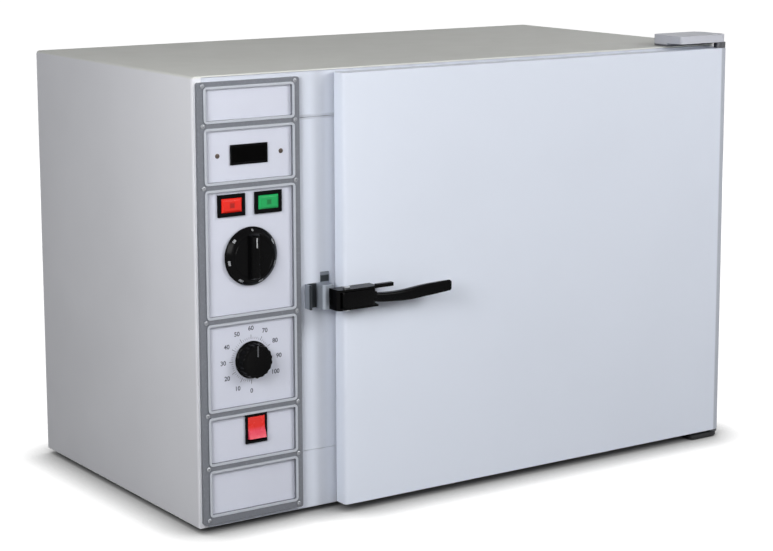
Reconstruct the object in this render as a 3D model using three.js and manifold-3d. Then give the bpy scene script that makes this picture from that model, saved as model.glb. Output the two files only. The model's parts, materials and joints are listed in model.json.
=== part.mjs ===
// Laboratory oven: a bench-top drying oven with a control column on the left and a side-hung door.
// Millimetres, +Z up, the front faces -Y. The front plane of the cabinet is y = 0 until the last
// lines, which move the whole oven so that its origin is the middle of its underside.

import * as THREE from 'three';
import { mergeVertices } from 'three/addons/utils/BufferGeometryUtils.js';
import Module from 'manifold-3d';

const wasm = await Module();
wasm.setup();

// Fits and cuts
const seat = 0.3;
const overrun = 2;
const fineArc = 3;
const coarseArc = 2;
const leverEdgeSteps = 16;

// Cabinet shell
const cabinetWidth = 700;
const cabinetDepth = 370;
const cabinetHeight = 466;
const sheet = 1.5;
const cabinetEdgeRadius = 4;
const lipWidth = 10;
const returnDepth = 12;
const basePanRim = 18;

// Feet
const footHeight = 6;
const footRadius = 14;
const footTaper = 2;
const footInset = 46;

// Front members round the chamber opening
const controlBayWidth = 118;
const mullionWidth = 82;
const rightPostSpan = 40;
const topRailHeight = 48.8;
const bottomRailHeight = 62.2;
const seam = 0.4;

// Chamber
const flangeShow = 14;
const flangeLap = 8;
const linerWall = 1.2;
const linerRadius = 10;
const rearInsulation = 45;
const rearSpace = 40.5;
const bulkheadSetback = 44.5;
const bulkheadFlange = 14;

// Heating element and its cover plate
const elementRadius = 4.25;
const elementHeight = 13;
const elementPitch = 100;
const elementFrontInset = 50;
const elementRearInset = 52;
const elementTail = 26;
const floorPlateHeight = 26;
const floorPlateSide = 11;
const floorPlateFront = 20;
const floorPlateRear = 12;
const floorPlateSheet = 1.2;
const floorHoleRadius = 6;
const floorHoleColumns = 7;
const floorHoleRows = 3;

// Shelf racks and shelves
const rackRodRadius = 2.5;
const rackUprightInset = 5;
const rackRunnerInset = 9;
const rackFront = 34;
const rackRear = 20;
const rackFirstLevel = 54;
const rackHeadroom = 48;
const rackLevels = 6;
const rackMargin = 12;
const rackStandoffRadius = 4;
const shelfRodRadius = 3;
const shelfWireRadius = 1.5;
const shelfWeld = 0.5;
const shelfWires = 13;
const shelfCrossRods = 1;
const shelfFront = 31;
const shelfRear = 10;
const shelfSideInset = 11;
const shelfLevels = [1, 4];

// Temperature sensor, thermometer probe and vent
const sensorRadius = 4;
const sensorLength = 90;
const sensorShare = 0.92;
const sensorRearInset = 14;
const capillaryRadius = 1.5;
const capillaryBend = 26;
const probeRadius = 2;
const probeLength = 60;
const probeDrop = 24;
const probeHeadRadius = 6;
const probeHeadLength = 12;
const ventRadius = 15;
const ventWall = 1.5;
const ventDrop = 45;
const ventStandOut = 12;
const ventCollar = 4;
const ventCollarThickness = 1.2;
const ventCapWall = 2;
const ventCapLength = 13;
const ventSlotWidth = 3;
const ventSlotPitch = 6;
const ventSlots = 3;

// Door
const doorLap = 38;
const doorThickness = 21;
const doorGap = 3;
const doorBottomGap = 2.7;
const doorTopGap = 3.3;
const doorHingeRadius = 12;
const doorEdgeRadius = 4;
const doorBackRadius = 3;
const doorSkinSheet = 1.2;
const doorReturn = 16;
const innerPanelSheet = 1;
const innerPanelInset = 4;
const plugDepth = 15;
const plugClearance = 3;
const plugRadius = 8;
const gasketInset = 3;
const gasketWidth = 12;
const gasketRadius = 14;

// Hinges
const hingePinInset = 9.5;
const hingePinDepth = 13.5;
const hingePinRadius = 3;
const hingeBushWall = 1.2;
const hingeCollarRadius = 6.8;
const upperPlateWidth = 74;
const lowerPlateWidth = 44;
const hingePlateInset = 2.5;
const hingePlateBack = 30;
const hingePlateRadius = 12;
const upperPlateHeight = 12.7;
const upperArmThickness = 8.8;
const lowerPlateThickness = 4.6;
const pinEngagement = 22;

// Latch
const latchHeight = 229;
const latchOverhang = 19;
const latchLength = 50;
const latchBodyHeight = 22;
const latchBodyDepth = 18;
const latchCheek = 2.5;
const latchBase = 2.5;
const latchEndWall = 3;
const latchBodyRadius = 5;
const latchTailLength = 19;
const latchTailWidth = 5;
const latchTailRise = 1.5;
const latchPinInset = 15;
const latchPinOut = 10;
const latchPinRadius = 2.5;
const latchPinHead = 1.5;
const leverHeadReach = 9.5;
const leverHeadRadius = 6;
const leverHeadProud = 1.5;
const leverLength = 136;
const leverReach = 30;
const leverBladeHeight = 14;
const leverBladeThickness = 5.5;
const leverSweep = 0.5;
const leverShares = [0, 0.4, 0.5, 0.72, 1];
const leverUndersideShares = [-0.08, -0.34, -0.38, -0.31, 0];
const leverTopsideShares = [0.42, 0.2, 0.55, 0.71, 0.82];
const keeperWidth = 29;
const keeperHeight = 26;
const keeperGap = 5;
const keeperPlate = 1.8;
const keeperFlange = 2;
const keeperFlangeOut = 12;
const keeperSlot = 10;
const keeperBlockWidth = 14;
const keeperBlockOut = 18;
const keeperBlockRadius = 4;
const keeperEarWidth = 10;
const keeperEarHeight = 11;

// Control column
const frameInset = 2.5;
const frameWidth = 118.4;
const frameBottomInset = 4;
const frameTopInset = 6;
const frameSideTrim = 9;
const frameTopTrim = 7;
const frameBottomTrim = 10.3;
const frameDepth = 6.2;
const frameRadius = 2.5;
const crossBar = 10;
const windowRadius = 1.5;
const beadWidth = 2.6;
const beadHeight = 1.4;
const pocketLap = 3;
const plateThickness = 2;
const cellShares = [0.113, 0.118, 0.224, 0.328, 0.135, 0.082];

// Display, lamps, knobs and switch
const displayWidth = 43.6;
const displayHeight = 20.7;
const displayProud = 1.2;
const displayRim = 2.4;
const displayBodyInset = 1.2;
const displayBodyDepth = 30;
const lampWidth = 32;
const lampHeight = 23;
const lampSpacing = 43;
const lampDrop = 14.8;
const lampProud = 2;
const lampRim = 4;
const lampLensProud = 1.4;
const lampLensTaper = 2;
const lampBodyInset = 2;
const lampBodyDepth = 22;
const lampToDial = 12.2;
const thermostatSkirtRadius = 30.5;
const thermostatTopRadius = 24.4;
const thermostatSkirtEdge = 2;
const thermostatSkirtHeight = 7;
const thermostatGripHeight = 14;
const thermostatGripWidth = 13;
const thermostatGripTaper = 3;
const thermostatBodySize = 46;
const thermostatBodyDepth = 32;
const timerHeightShare = 0.54;
const timerBaseRadius = 19.7;
const timerTopRadius = 17;
const timerSkirtHeight = 3;
const timerKnobHeight = 13;
const timerFlutes = 18;
const timerFluteRadius = 1.4;
const timerPointer = 2.4;
const timerBodySize = 56;
const timerBodyDepth = 44;
const knobGap = 1.2;
const shaftRadius = 3;
const shaftReach = 10;
const bossRadius = 6;
const switchWidth = 25.5;
const switchTall = 31;
const switchTopGap = 0.6;
const switchOffset = 4;
const switchProud = 2;
const switchRim = 1.2;
const switchBodyInset = 0.8;
const switchBodyDepth = 20;
const switchRecess = 11;
const rockerGap = 0.5;
const rockerHalfHeight = 11.5;
const rockerFace = 4;
const rockerRear = 3.5;
const rockerTiltDegrees = 10;
const rockerPivotDepth = 4;
const rockerAxleRadius = 1.5;
const rockerAxleReach = 0.6;

// Rear inlet, louvres and terminal block
const inletWidth = 50;
const inletHeight = 28;
const inletFlange = 2.6;
const inletRadius = 5;
const inletBodyWidth = 28;
const inletBodyHeight = 20;
const inletBodyDepth = 24;
const inletMouthWidth = 25;
const inletMouthHeight = 17;
const inletMouthDepth = 18;
const inletMouthChamfer = 4;
const inletPinWidth = 2;
const inletPinHeight = 4;
const inletPinLength = 11;
const inletPinPitch = 7;
const inletPinOffset = 2;
const inletRise = 70;
const louvreWidth = 70;
const louvreSlot = 3;
const louvrePitch = 11;
const louvreCount = 9;
const louvreRise = 190;
const terminalWidth = 60;
const terminalDepth = 24;
const terminalHeight = 20;
const terminalWays = 6;
const terminalGroove = 2;
const terminalInset = 120;

// Planes and edges that follow from the sizes above
const left = -cabinetWidth / 2;
const right = cabinetWidth / 2;
const bodyBottom = footHeight;
const bodyTop = bodyBottom + cabinetHeight;
const innerLeft = left + sheet;
const innerRight = right - sheet;
const innerTop = bodyTop - sheet;
const lowerSeam = bodyBottom + bottomRailHeight;
const upperSeam = bodyTop - topRailHeight;
const mullionLeft = left + controlBayWidth;
const openingLeft = mullionLeft + mullionWidth;
const openingRight = right - rightPostSpan;
const memberRear = sheet + returnDepth;
const panBottom = bodyBottom + sheet + seat;
const panFloor = panBottom + sheet;
const coverInner = cabinetDepth - sheet;
const linerFront = sheet + seat;
const flangeRear = linerFront + linerWall;
const chamberLeft = openingLeft + flangeShow;
const chamberRight = openingRight - flangeShow;
const chamberLow = lowerSeam + flangeShow;
const chamberHigh = upperSeam - flangeShow;
const insulationRear = coverInner - rearSpace;
const linerBack = insulationRear - rearInsulation;
const chamberBack = linerBack - linerWall;
const chamberMiddle = (chamberLeft + chamberRight) / 2;
const rackLow = chamberLow + rackFirstLevel;
const rackPitch = (chamberHigh - rackHeadroom - rackLow) / (rackLevels - 1);
const bulkheadRight = openingLeft - bulkheadSetback;
const bulkheadLeft = bulkheadRight - sheet;

// Height of a runner of the shelf racks; a part of a level lies between two of them
function levelHeight(level) {
  return rackLow + level * rackPitch;
}

// Materials
const finish = (color, roughness, metalness, opacity = 1) => new THREE.MeshStandardMaterial({
  color,
  roughness,
  metalness,
  opacity,
  transparent: opacity < 1,
  flatShading: true,
});
const enamel = finish('#d6d8da', 0.4, 0.1);
const doorEnamel = finish('#dcdfe6', 0.35, 0.1);
const stainless = finish('#b8babc', 0.35, 0.9);
const galvanised = finish('#a4a8aa', 0.5, 0.8);
const trimMetal = finish('#8c9098', 0.4, 0.8);
const platePaint = finish('#d4d6e0', 0.5, 0.05);
const ceramic = finish('#dcdad0', 0.7, 0);
const chrome = finish('#c8ccd0', 0.12, 1);
const steel = finish('#8e9298', 0.3, 1);
const blackPlastic = finish('#0b0b0d', 0.35, 0);
const darkRubber = finish('#17171a', 0.85, 0);
const silicone = finish('#7c4238', 0.7, 0);
const wool = finish('#d8cfae', 0.95, 0);
const elementMetal = finish('#4a4643', 0.6, 0.7);
const redLens = finish('#e02a18', 0.25, 0);
const greenLens = finish('#12a05a', 0.25, 0);
const redRocker = finish('#d5241c', 0.3, 0);
const smokedLens = finish('#08080a', 0.1, 0);

// Solids: three.js geometry in, closed bodies out
function solidOf(geometry) {
  const bare = geometry.clone();
  bare.deleteAttribute('normal');
  bare.deleteAttribute('uv');
  const merged = mergeVertices(bare);
  const corners = merged.index.array;
  const kept = [];
  for (let i = 0; i < corners.length; i += 3) {
    const [a, b, c] = [corners[i], corners[i + 1], corners[i + 2]];
    if (a !== b && b !== c && c !== a) {
      kept.push(a, b, c);
    }
  }
  const mesh = new wasm.Mesh({
    numProp: 3,
    vertProperties: new Float32Array(merged.attributes.position.array),
    triVerts: new Uint32Array(kept),
  });
  return new wasm.Manifold(mesh);
}

function geometryOf(solid) {
  const mesh = solid.getMesh();
  const geometry = new THREE.BufferGeometry();
  geometry.setAttribute('position', new THREE.BufferAttribute(new Float32Array(mesh.vertProperties), 3));
  geometry.setIndex(new THREE.BufferAttribute(new Uint32Array(mesh.triVerts), 1));
  geometry.computeVertexNormals();
  return geometry;
}

function joined(solids) {
  return solids.reduce((sum, solid) => sum.add(solid));
}

function without(solid, cutters) {
  return cutters.reduce((rest, cutter) => rest.subtract(cutter), solid);
}

function box(x0, x1, y0, y1, z0, z1) {
  const geometry = new THREE.BoxGeometry(x1 - x0, y1 - y0, z1 - z0);
  geometry.translate((x0 + x1) / 2, (y0 + y1) / 2, (z0 + z1) / 2);
  return solidOf(geometry);
}

// Outlines: corner radii run low-left, low-right, high-right, high-left
function outline(x0, x1, y0, y1, radius = 0) {
  const radii = Array.isArray(radius) ? radius : [radius, radius, radius, radius];
  const corners = [[x0, y0, 1, 1], [x1, y0, -1, 1], [x1, y1, -1, -1], [x0, y1, 1, -1]];
  const shape = new THREE.Shape();
  corners.forEach(([x, y, towardX, towardY], i) => {
    const r = radii[i];
    if (r <= 0) {
      if (i === 0) {
        shape.moveTo(x, y);
      } else {
        shape.lineTo(x, y);
      }
      return;
    }
    const start = Math.PI + i * Math.PI / 2;
    const centre = [x + towardX * r, y + towardY * r];
    const first = [centre[0] + r * Math.cos(start), centre[1] + r * Math.sin(start)];
    if (i === 0) {
      shape.moveTo(...first);
    } else {
      shape.lineTo(...first);
    }
    shape.absarc(...centre, r, start, start + Math.PI / 2, false);
  });
  shape.closePath();
  return shape;
}

function extruded(shape, length, arcSteps) {
  return new THREE.ExtrudeGeometry(shape, { depth: length, bevelEnabled: false, curveSegments: arcSteps });
}

// Extrudes an outline drawn in x and y upwards
function prismZ(shape, z0, z1, arcSteps = fineArc) {
  const geometry = extruded(shape, z1 - z0, arcSteps);
  geometry.translate(0, 0, z0);
  return solidOf(geometry);
}

// Extrudes an outline drawn in x and z from the front towards the back
function prismY(shape, y0, y1, arcSteps = fineArc) {
  const geometry = extruded(shape, y1 - y0, arcSteps);
  geometry.rotateX(Math.PI / 2);
  geometry.translate(0, y1, 0);
  return solidOf(geometry);
}

// Extrudes an outline drawn in y and z from left to right
function prismX(shape, x0, x1, arcSteps = fineArc) {
  const geometry = extruded(shape, x1 - x0, arcSteps);
  const basis = new THREE.Matrix4().makeBasis(
    new THREE.Vector3(0, 1, 0),
    new THREE.Vector3(0, 0, 1),
    new THREE.Vector3(1, 0, 0),
  );
  geometry.applyMatrix4(basis);
  geometry.translate(x0, 0, 0);
  return solidOf(geometry);
}

// A round bar between two points
function rod(from, to, radius, sides = 16, endRadius = radius) {
  const start = new THREE.Vector3(...from);
  const axis = new THREE.Vector3(...to).sub(start);
  const geometry = new THREE.CylinderGeometry(endRadius, radius, axis.length(), sides);
  geometry.translate(0, axis.length() / 2, 0);
  geometry.applyQuaternion(new THREE.Quaternion().setFromUnitVectors(
    new THREE.Vector3(0, 1, 0),
    axis.clone().normalize(),
  ));
  geometry.translate(...from);
  return solidOf(geometry);
}

function ball(centre, radius, sides = 8) {
  const geometry = new THREE.SphereGeometry(radius, sides, sides / 2);
  geometry.translate(...centre);
  return solidOf(geometry);
}

// A tube along a curve, with flat ends
function swept(curve, radius, sides, steps) {
  const section = new THREE.Shape();
  for (let i = 0; i < sides; i += 1) {
    const angle = i / sides * 2 * Math.PI;
    const point = [radius * Math.cos(angle), radius * Math.sin(angle)];
    if (i === 0) {
      section.moveTo(...point);
    } else {
      section.lineTo(...point);
    }
  }
  section.closePath();
  return solidOf(new THREE.ExtrudeGeometry(section, { steps, bevelEnabled: false, extrudePath: curve }));
}

// A turned piece whose axis points out of the front: profile points are [radius, distance out]
function turnedOut(profile, x, y, z, sides = 40) {
  const points = profile.map(([radius, out]) => new THREE.Vector2(radius, out));
  const geometry = new THREE.LatheGeometry(points, sides);
  geometry.rotateX(Math.PI);
  geometry.translate(x, y, z);
  return solidOf(geometry);
}

const oven = new THREE.Group();
oven.name = 'laboratory_oven';

function place(name, solid, material) {
  const mesh = new THREE.Mesh(geometryOf(solid), material);
  mesh.name = name;
  oven.add(mesh);
}

// Cabinet shell
const innerEdgeRadius = Math.max(cabinetEdgeRadius - sheet, 0);
const innerCorners = [0, 0, innerEdgeRadius, innerEdgeRadius];

function cabinetWrapper() {
  const outer = prismY(
    outline(left, right, bodyBottom, bodyTop, [0, 0, cabinetEdgeRadius, cabinetEdgeRadius]),
    0,
    cabinetDepth,
  );
  const hollow = prismY(
    outline(innerLeft, innerRight, bodyBottom - overrun, innerTop, innerCorners),
    -overrun,
    cabinetDepth + overrun,
  );
  const rearLip = [coverInner - seat - sheet, coverInner - seat, panBottom + basePanRim + seat];
  const frontLip = [0, sheet, bodyBottom];
  const lips = [];
  for (const [near, far, low] of [frontLip, rearLip]) {
    lips.push(box(left, left + lipWidth, near, far, low, bodyTop));
    lips.push(box(right - lipWidth, right, near, far, low, bodyTop));
  }
  return joined([outer.subtract(hollow), ...lips]).intersect(outer);
}

function basePan() {
  const edge = innerRight - seat;
  const rear = coverInner - seat;
  const tray = box(-edge, edge, linerFront, rear, panBottom, panBottom + basePanRim);
  const hollow = box(
    sheet - edge,
    edge - sheet,
    linerFront + sheet,
    rear - sheet,
    panFloor,
    panBottom + basePanRim + overrun,
  );
  return tray.subtract(hollow);
}

const inletX = (left + bulkheadLeft) / 2;
const inletZ = bodyBottom + inletRise;
const ventZ = chamberHigh - ventDrop;

function rearCover() {
  const edge = innerRight - seat;
  const panel = prismY(
    outline(-edge, edge, bodyBottom, innerTop - seat, [0, 0, innerEdgeRadius, innerEdgeRadius]),
    coverInner,
    cabinetDepth,
  );
  const inletHole = box(
    inletX - inletBodyWidth / 2 - seat,
    inletX + inletBodyWidth / 2 + seat,
    coverInner - overrun,
    cabinetDepth + overrun,
    inletZ - inletBodyHeight / 2 - seat,
    inletZ + inletBodyHeight / 2 + seat,
  );
  const ventHole = rod(
    [chamberMiddle, coverInner - overrun, ventZ],
    [chamberMiddle, cabinetDepth + overrun, ventZ],
    ventRadius + seat,
    24,
  );
  const louvres = [];
  for (let i = 0; i < louvreCount; i += 1) {
    const z = bodyBottom + louvreRise + i * louvrePitch;
    const slot = outline(
      inletX - louvreWidth / 2,
      inletX + louvreWidth / 2,
      z - louvreSlot / 2,
      z + louvreSlot / 2,
      louvreSlot / 2,
    );
    louvres.push(prismY(slot, coverInner - overrun, cabinetDepth + overrun, 1));
  }
  return without(panel, [inletHole, ventHole, ...louvres]);
}

function foot(x, y) {
  return rod([x, y, 0], [x, y, panBottom - seat], footRadius - footTaper, 24, footRadius);
}

place('cabinet_wrapper', cabinetWrapper(), enamel);
place('base_pan', basePan(), galvanised);
place('rear_cover', rearCover(), enamel);
for (const [row, y] of [['front', footInset], ['rear', cabinetDepth - footInset]]) {
  for (const [side, x] of [['left', left + footInset], ['right', right - footInset]]) {
    place(`foot_${row}_${side}`, foot(x, y), darkRubber);
  }
}

// Front members: two rails across, with a mullion and a post between them
function topRail() {
  const edge = right - lipWidth - seat;
  const top = innerTop - seat;
  return joined([
    box(-edge, edge, 0, sheet, upperSeam, top),
    box(-edge, edge, 0, memberRear, top - sheet, top),
  ]);
}

function bottomRail() {
  const edge = right - lipWidth - seat;
  return joined([
    box(-edge, edge, 0, sheet, bodyBottom, lowerSeam),
    box(-edge, edge, 0, memberRear, bodyBottom, bodyBottom + sheet),
  ]);
}

function mullion() {
  const low = lowerSeam + seam;
  const high = upperSeam - seam;
  return joined([
    box(mullionLeft, openingLeft, 0, sheet, low, high),
    box(mullionLeft, mullionLeft + sheet, 0, memberRear, low, high),
  ]);
}

function rightPost() {
  const low = lowerSeam + seam;
  const high = upperSeam - seam;
  const edge = right - lipWidth - seat;
  return joined([
    box(openingRight, edge, 0, sheet, low, high),
    box(edge - sheet, edge, 0, memberRear, low, high),
  ]);
}

function controlBulkhead() {
  const rear = coverInner - seat - sheet - seat;
  const partition = box(
    bulkheadLeft,
    bulkheadRight,
    memberRear + seat,
    rear,
    panFloor + seat,
    innerTop - seat,
  );
  const frontFlange = box(
    bulkheadRight - bulkheadFlange,
    bulkheadRight,
    linerFront,
    linerFront + sheet,
    lowerSeam + seam,
    upperSeam - seam,
  );
  const neck = box(
    bulkheadLeft,
    bulkheadRight,
    linerFront,
    memberRear + seat + sheet,
    lowerSeam + seam,
    upperSeam - seam,
  );
  const sensorHole = rod(
    [bulkheadLeft - overrun, sensorY, sensorZ],
    [bulkheadRight + overrun, sensorY, sensorZ],
    capillaryRadius + seat,
    12,
  );
  const probeHole = rod(
    [bulkheadLeft - overrun, sensorY, probeZ],
    [bulkheadRight + overrun, sensorY, probeZ],
    probeRadius + seat,
    12,
  );
  return without(joined([partition, frontFlange, neck]), [sensorHole, probeHole]);
}

const sensorY = chamberBack - sensorRearInset;
const sensorZ = levelHeight(sensorShare * (rackLevels - 1));
const probeZ = sensorZ + probeDrop;

place('front_top_rail', topRail(), enamel);
place('front_bottom_rail', bottomRail(), enamel);
place('front_mullion', mullion(), enamel);
place('front_right_post', rightPost(), enamel);
place('control_bulkhead', controlBulkhead(), galvanised);

// Chamber
const elementZ = chamberLow + elementHeight;
const elementLegs = [-1.5, -0.5, 0.5, 1.5].map((step) => chamberMiddle + step * elementPitch);

function elementEntries(gap) {
  return [elementLegs[0], elementLegs[3]].map((x) => rod(
    [x, chamberBack - overrun, elementZ],
    [x, insulationRear + overrun, elementZ],
    elementRadius + gap,
    16,
  ));
}

function ventEntry(gap) {
  return rod(
    [chamberMiddle, chamberBack - overrun, ventZ],
    [chamberMiddle, insulationRear + overrun, ventZ],
    ventRadius + gap,
    24,
  );
}

function sideEntries(gap) {
  const ends = [bulkheadRight - overrun, chamberLeft + overrun];
  return [
    rod([ends[0], sensorY, sensorZ], [ends[1], sensorY, sensorZ], capillaryRadius + gap, 12),
    rod([ends[0], sensorY, probeZ], [ends[1], sensorY, probeZ], probeRadius + gap, 12),
  ];
}

function chamberLiner() {
  const wall = linerWall;
  const outside = outline(
    chamberLeft - wall,
    chamberRight + wall,
    chamberLow - wall,
    chamberHigh + wall,
    linerRadius + wall,
  );
  const inside = outline(chamberLeft, chamberRight, chamberLow, chamberHigh, linerRadius);
  const reach = flangeShow + flangeLap;
  const flange = outline(
    chamberLeft - reach,
    chamberRight + reach,
    chamberLow - reach,
    chamberHigh + reach,
    0,
  );
  const shell = joined([
    prismY(outside, linerFront, linerBack, coarseArc),
    prismY(flange, linerFront, flangeRear),
  ]);
  const hollow = prismY(inside, linerFront - overrun, chamberBack, coarseArc);
  return without(shell, [hollow, ...elementEntries(seat), ventEntry(seat), ...sideEntries(seat)]);
}

function chamberInsulation() {
  const wall = linerWall + seat;
  const blanket = box(
    bulkheadRight + seat,
    innerRight - sheet - 2 * seat,
    memberRear + seat,
    insulationRear,
    panFloor + seat,
    innerTop - seat,
  );
  const pocket = prismY(
    outline(
      chamberLeft - wall,
      chamberRight + wall,
      chamberLow - wall,
      chamberHigh + wall,
      linerRadius + wall,
    ),
    linerFront,
    linerBack + seat,
    coarseArc,
  );
  return without(blanket, [pocket, ...elementEntries(seat), ventEntry(seat), ...sideEntries(seat)]);
}

function floorPlate() {
  const x0 = chamberLeft + floorPlateSide;
  const x1 = chamberRight - floorPlateSide;
  const y0 = linerFront + floorPlateFront;
  const y1 = chamberBack - floorPlateRear;
  const top = chamberLow + floorPlateHeight;
  const cover = box(x0, x1, y0, y1, chamberLow + seat, top);
  const hollow = box(
    x0 + floorPlateSheet,
    x1 - floorPlateSheet,
    y0 - overrun,
    y1 + overrun,
    chamberLow - overrun,
    top - floorPlateSheet,
  );
  const holes = [];
  for (let row = 0; row < floorHoleRows; row += 1) {
    for (let column = 0; column < floorHoleColumns; column += 1) {
      const x = x0 + (column + 0.5) / floorHoleColumns * (x1 - x0);
      const y = y0 + (row + 0.5) / floorHoleRows * (y1 - y0);
      holes.push(rod([x, y, top - floorPlateSheet - overrun], [x, y, top + overrun], floorHoleRadius, 6));
    }
  }
  return without(cover, [hollow, ...holes]);
}

// The element runs in from the back wall, round three bends and out again
function heatingElement() {
  const tail = insulationRear + elementTail;
  const bendRadius = elementPitch / 2;
  const frontY = linerFront + elementFrontInset + bendRadius;
  const rearY = chamberBack - elementRearInset - bendRadius;
  const points = [
    [elementLegs[0], tail],
    [elementLegs[0], chamberBack],
    [elementLegs[0], rearY],
  ];
  const bendSteps = 8;
  for (let bend = 0; bend < elementLegs.length - 1; bend += 1) {
    const towardFront = bend % 2 === 0;
    const y = towardFront ? frontY : rearY;
    const sign = towardFront ? -1 : 1;
    const x = elementLegs[bend] + bendRadius;
    for (let i = 0; i <= bendSteps; i += 1) {
      const angle = Math.PI * i / bendSteps;
      points.push([x - bendRadius * Math.cos(angle), y + sign * bendRadius * Math.sin(angle)]);
    }
  }
  points.push([elementLegs[3], rearY], [elementLegs[3], chamberBack], [elementLegs[3], tail]);
  const route = new THREE.CatmullRomCurve3(points.map(([x, y]) => new THREE.Vector3(x, y, elementZ)));
  return swept(route, elementRadius, 8, 54);
}

place('chamber_liner', chamberLiner(), stainless);
place('chamber_insulation', chamberInsulation(), wool);
place('chamber_floor_plate', floorPlate(), stainless);
place('heating_element', heatingElement(), elementMetal);

// Shelf racks: two uprights with a runner at each level, stood off the liner wall
const rackNear = linerFront + rackFront;
const rackFar = chamberBack - rackRear;

function shelfRack(side) {
  const wall = side < 0 ? chamberLeft : chamberRight;
  const uprightX = wall - side * rackUprightInset;
  const runnerX = wall - side * rackRunnerInset;
  const low = levelHeight(0) - rackMargin;
  const high = levelHeight(rackLevels - 1) + rackMargin;
  const solids = [];
  for (const y of [rackNear + rackMargin, rackFar - rackMargin]) {
    solids.push(rod([uprightX, y, low], [uprightX, y, high], rackRodRadius, 8));
    for (const z of [low + rackMargin / 2, high - rackMargin / 2]) {
      solids.push(rod([wall - side * seat, y, z], [uprightX, y, z], rackStandoffRadius, 8));
    }
  }
  for (let level = 0; level < rackLevels; level += 1) {
    const z = levelHeight(level);
    solids.push(rod([runnerX, rackNear, z], [runnerX, rackFar, z], rackRodRadius, 6));
  }
  return joined(solids);
}

// A shelf is a rod frame with two cross rods and wires welded on top of them
function wireShelf(level) {
  const z = levelHeight(level) + rackRodRadius + seat + shelfRodRadius;
  const x0 = chamberLeft + shelfSideInset;
  const x1 = chamberRight - shelfSideInset;
  const y0 = linerFront + shelfFront;
  const y1 = chamberBack - shelfRear;
  const r = shelfRodRadius;
  const corners = [[x0, y0], [x1, y0], [x1, y1], [x0, y1]];
  const solids = corners.map(([x, y]) => ball([x, y, z], r));
  corners.forEach(([x, y], i) => {
    const [nextX, nextY] = corners[(i + 1) % corners.length];
    solids.push(rod([x, y, z], [nextX, nextY, z], r, 8));
  });
  for (let i = 1; i <= shelfCrossRods; i += 1) {
    const y = y0 + i / (shelfCrossRods + 1) * (y1 - y0);
    solids.push(rod([x0, y, z], [x1, y, z], r, 8));
  }
  const wireZ = z + r + shelfWireRadius - shelfWeld;
  for (let i = 1; i <= shelfWires; i += 1) {
    const x = x0 + i / (shelfWires + 1) * (x1 - x0);
    solids.push(rod([x, y0, wireZ], [x, y1, wireZ], shelfWireRadius, 6));
  }
  return joined(solids);
}

place('shelf_rack_left', shelfRack(-1), stainless);
place('shelf_rack_right', shelfRack(1), stainless);
place('lower_shelf', wireShelf(shelfLevels[0]), chrome);
place('upper_shelf', wireShelf(shelfLevels[1]), chrome);

// Control column: places of its cells, from the bottom up
const frameLeft = left + frameInset;
const frameRight = frameLeft + frameWidth;
const frameLow = bodyBottom + frameBottomInset;
const columnX = (frameLeft + frameRight) / 2;
const windowLeft = frameLeft + frameSideTrim;
const windowRight = frameRight - frameSideTrim;
const frameHigh = bodyTop - frameTopInset;
const barsInAll = (cellShares.length - 1) * crossBar;
const openInAll = frameHigh - frameTopTrim - frameLow - frameBottomTrim - barsInAll;
const cells = [];
for (const share of cellShares) {
  const below = cells.at(-1);
  const low = below ? below.high + crossBar : frameLow + frameBottomTrim;
  cells.push({ low, high: low + share * openInAll });
}
const [lowerBadge, switchPlace, timerPlace, thermostatPlace, displayPlace, upperBadge] = cells;
const frameRear = -seat;
const frameFront = frameRear - frameDepth;
const plateRear = -seat;
const plateFront = plateRear - plateThickness;
const displayZ = (displayPlace.low + displayPlace.high) / 2;
const lampZ = thermostatPlace.high - lampDrop;
const thermostatZ = lampZ - lampHeight / 2 - lampToDial - thermostatSkirtRadius;
const timerZ = timerPlace.low + timerHeightShare * (timerPlace.high - timerPlace.low);
const switchX = columnX + switchOffset;
const switchZ = switchPlace.high - switchTopGap - switchTall / 2;

// One frame with six windows, each edged by a raised bead, and a pocket behind for the plates
function controlFrame() {
  const face = frameFront + beadHeight;
  const slab = prismY(outline(frameLeft, frameRight, frameLow, frameHigh, frameRadius), face, frameRear);
  const beads = [];
  const windows = [];
  for (const { low, high } of cells) {
    const reach = beadWidth;
    beads.push(prismY(
      outline(windowLeft - reach, windowRight + reach, low - reach, high + reach, windowRadius + reach),
      frameFront,
      face + beadHeight,
      coarseArc,
    ));
    windows.push(prismY(
      outline(windowLeft, windowRight, low, high, windowRadius),
      frameFront - overrun,
      frameRear + overrun,
      coarseArc,
    ));
  }
  const pocket = box(
    windowLeft - pocketLap,
    windowRight + pocketLap,
    plateFront - seat,
    frameRear + overrun,
    lowerBadge.low - pocketLap,
    upperBadge.high + pocketLap,
  );
  return without(joined([slab, ...beads]), [...windows, pocket]);
}

function hole(x, z, width, height) {
  return box(
    x - width / 2,
    x + width / 2,
    plateFront - overrun,
    plateRear + overrun,
    z - height / 2,
    z + height / 2,
  );
}

function roundHole(x, z, radius) {
  return rod([x, plateFront - overrun, z], [x, plateRear + overrun, z], radius, 24);
}

// A plate fills its part of the pocket, up to the middle of the bars above and below it
function cellPlate(cell, holes) {
  const under = cell === lowerBadge ? pocketLap - seat : (crossBar - seat) / 2;
  const over = cell === upperBadge ? pocketLap - seat : (crossBar - seat) / 2;
  const plate = box(
    windowLeft - pocketLap + seat,
    windowRight + pocketLap - seat,
    plateFront,
    plateRear,
    cell.low - under,
    cell.high + over,
  );
  return without(plate, holes);
}

const displayHole = [displayWidth - 2 * displayBodyInset, displayHeight - 2 * displayBodyInset];
const lampHole = [lampWidth - 2 * lampBodyInset, lampHeight - 2 * lampBodyInset];
const switchHole = [switchWidth - 2 * switchBodyInset, switchTall - 2 * switchBodyInset];

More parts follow.
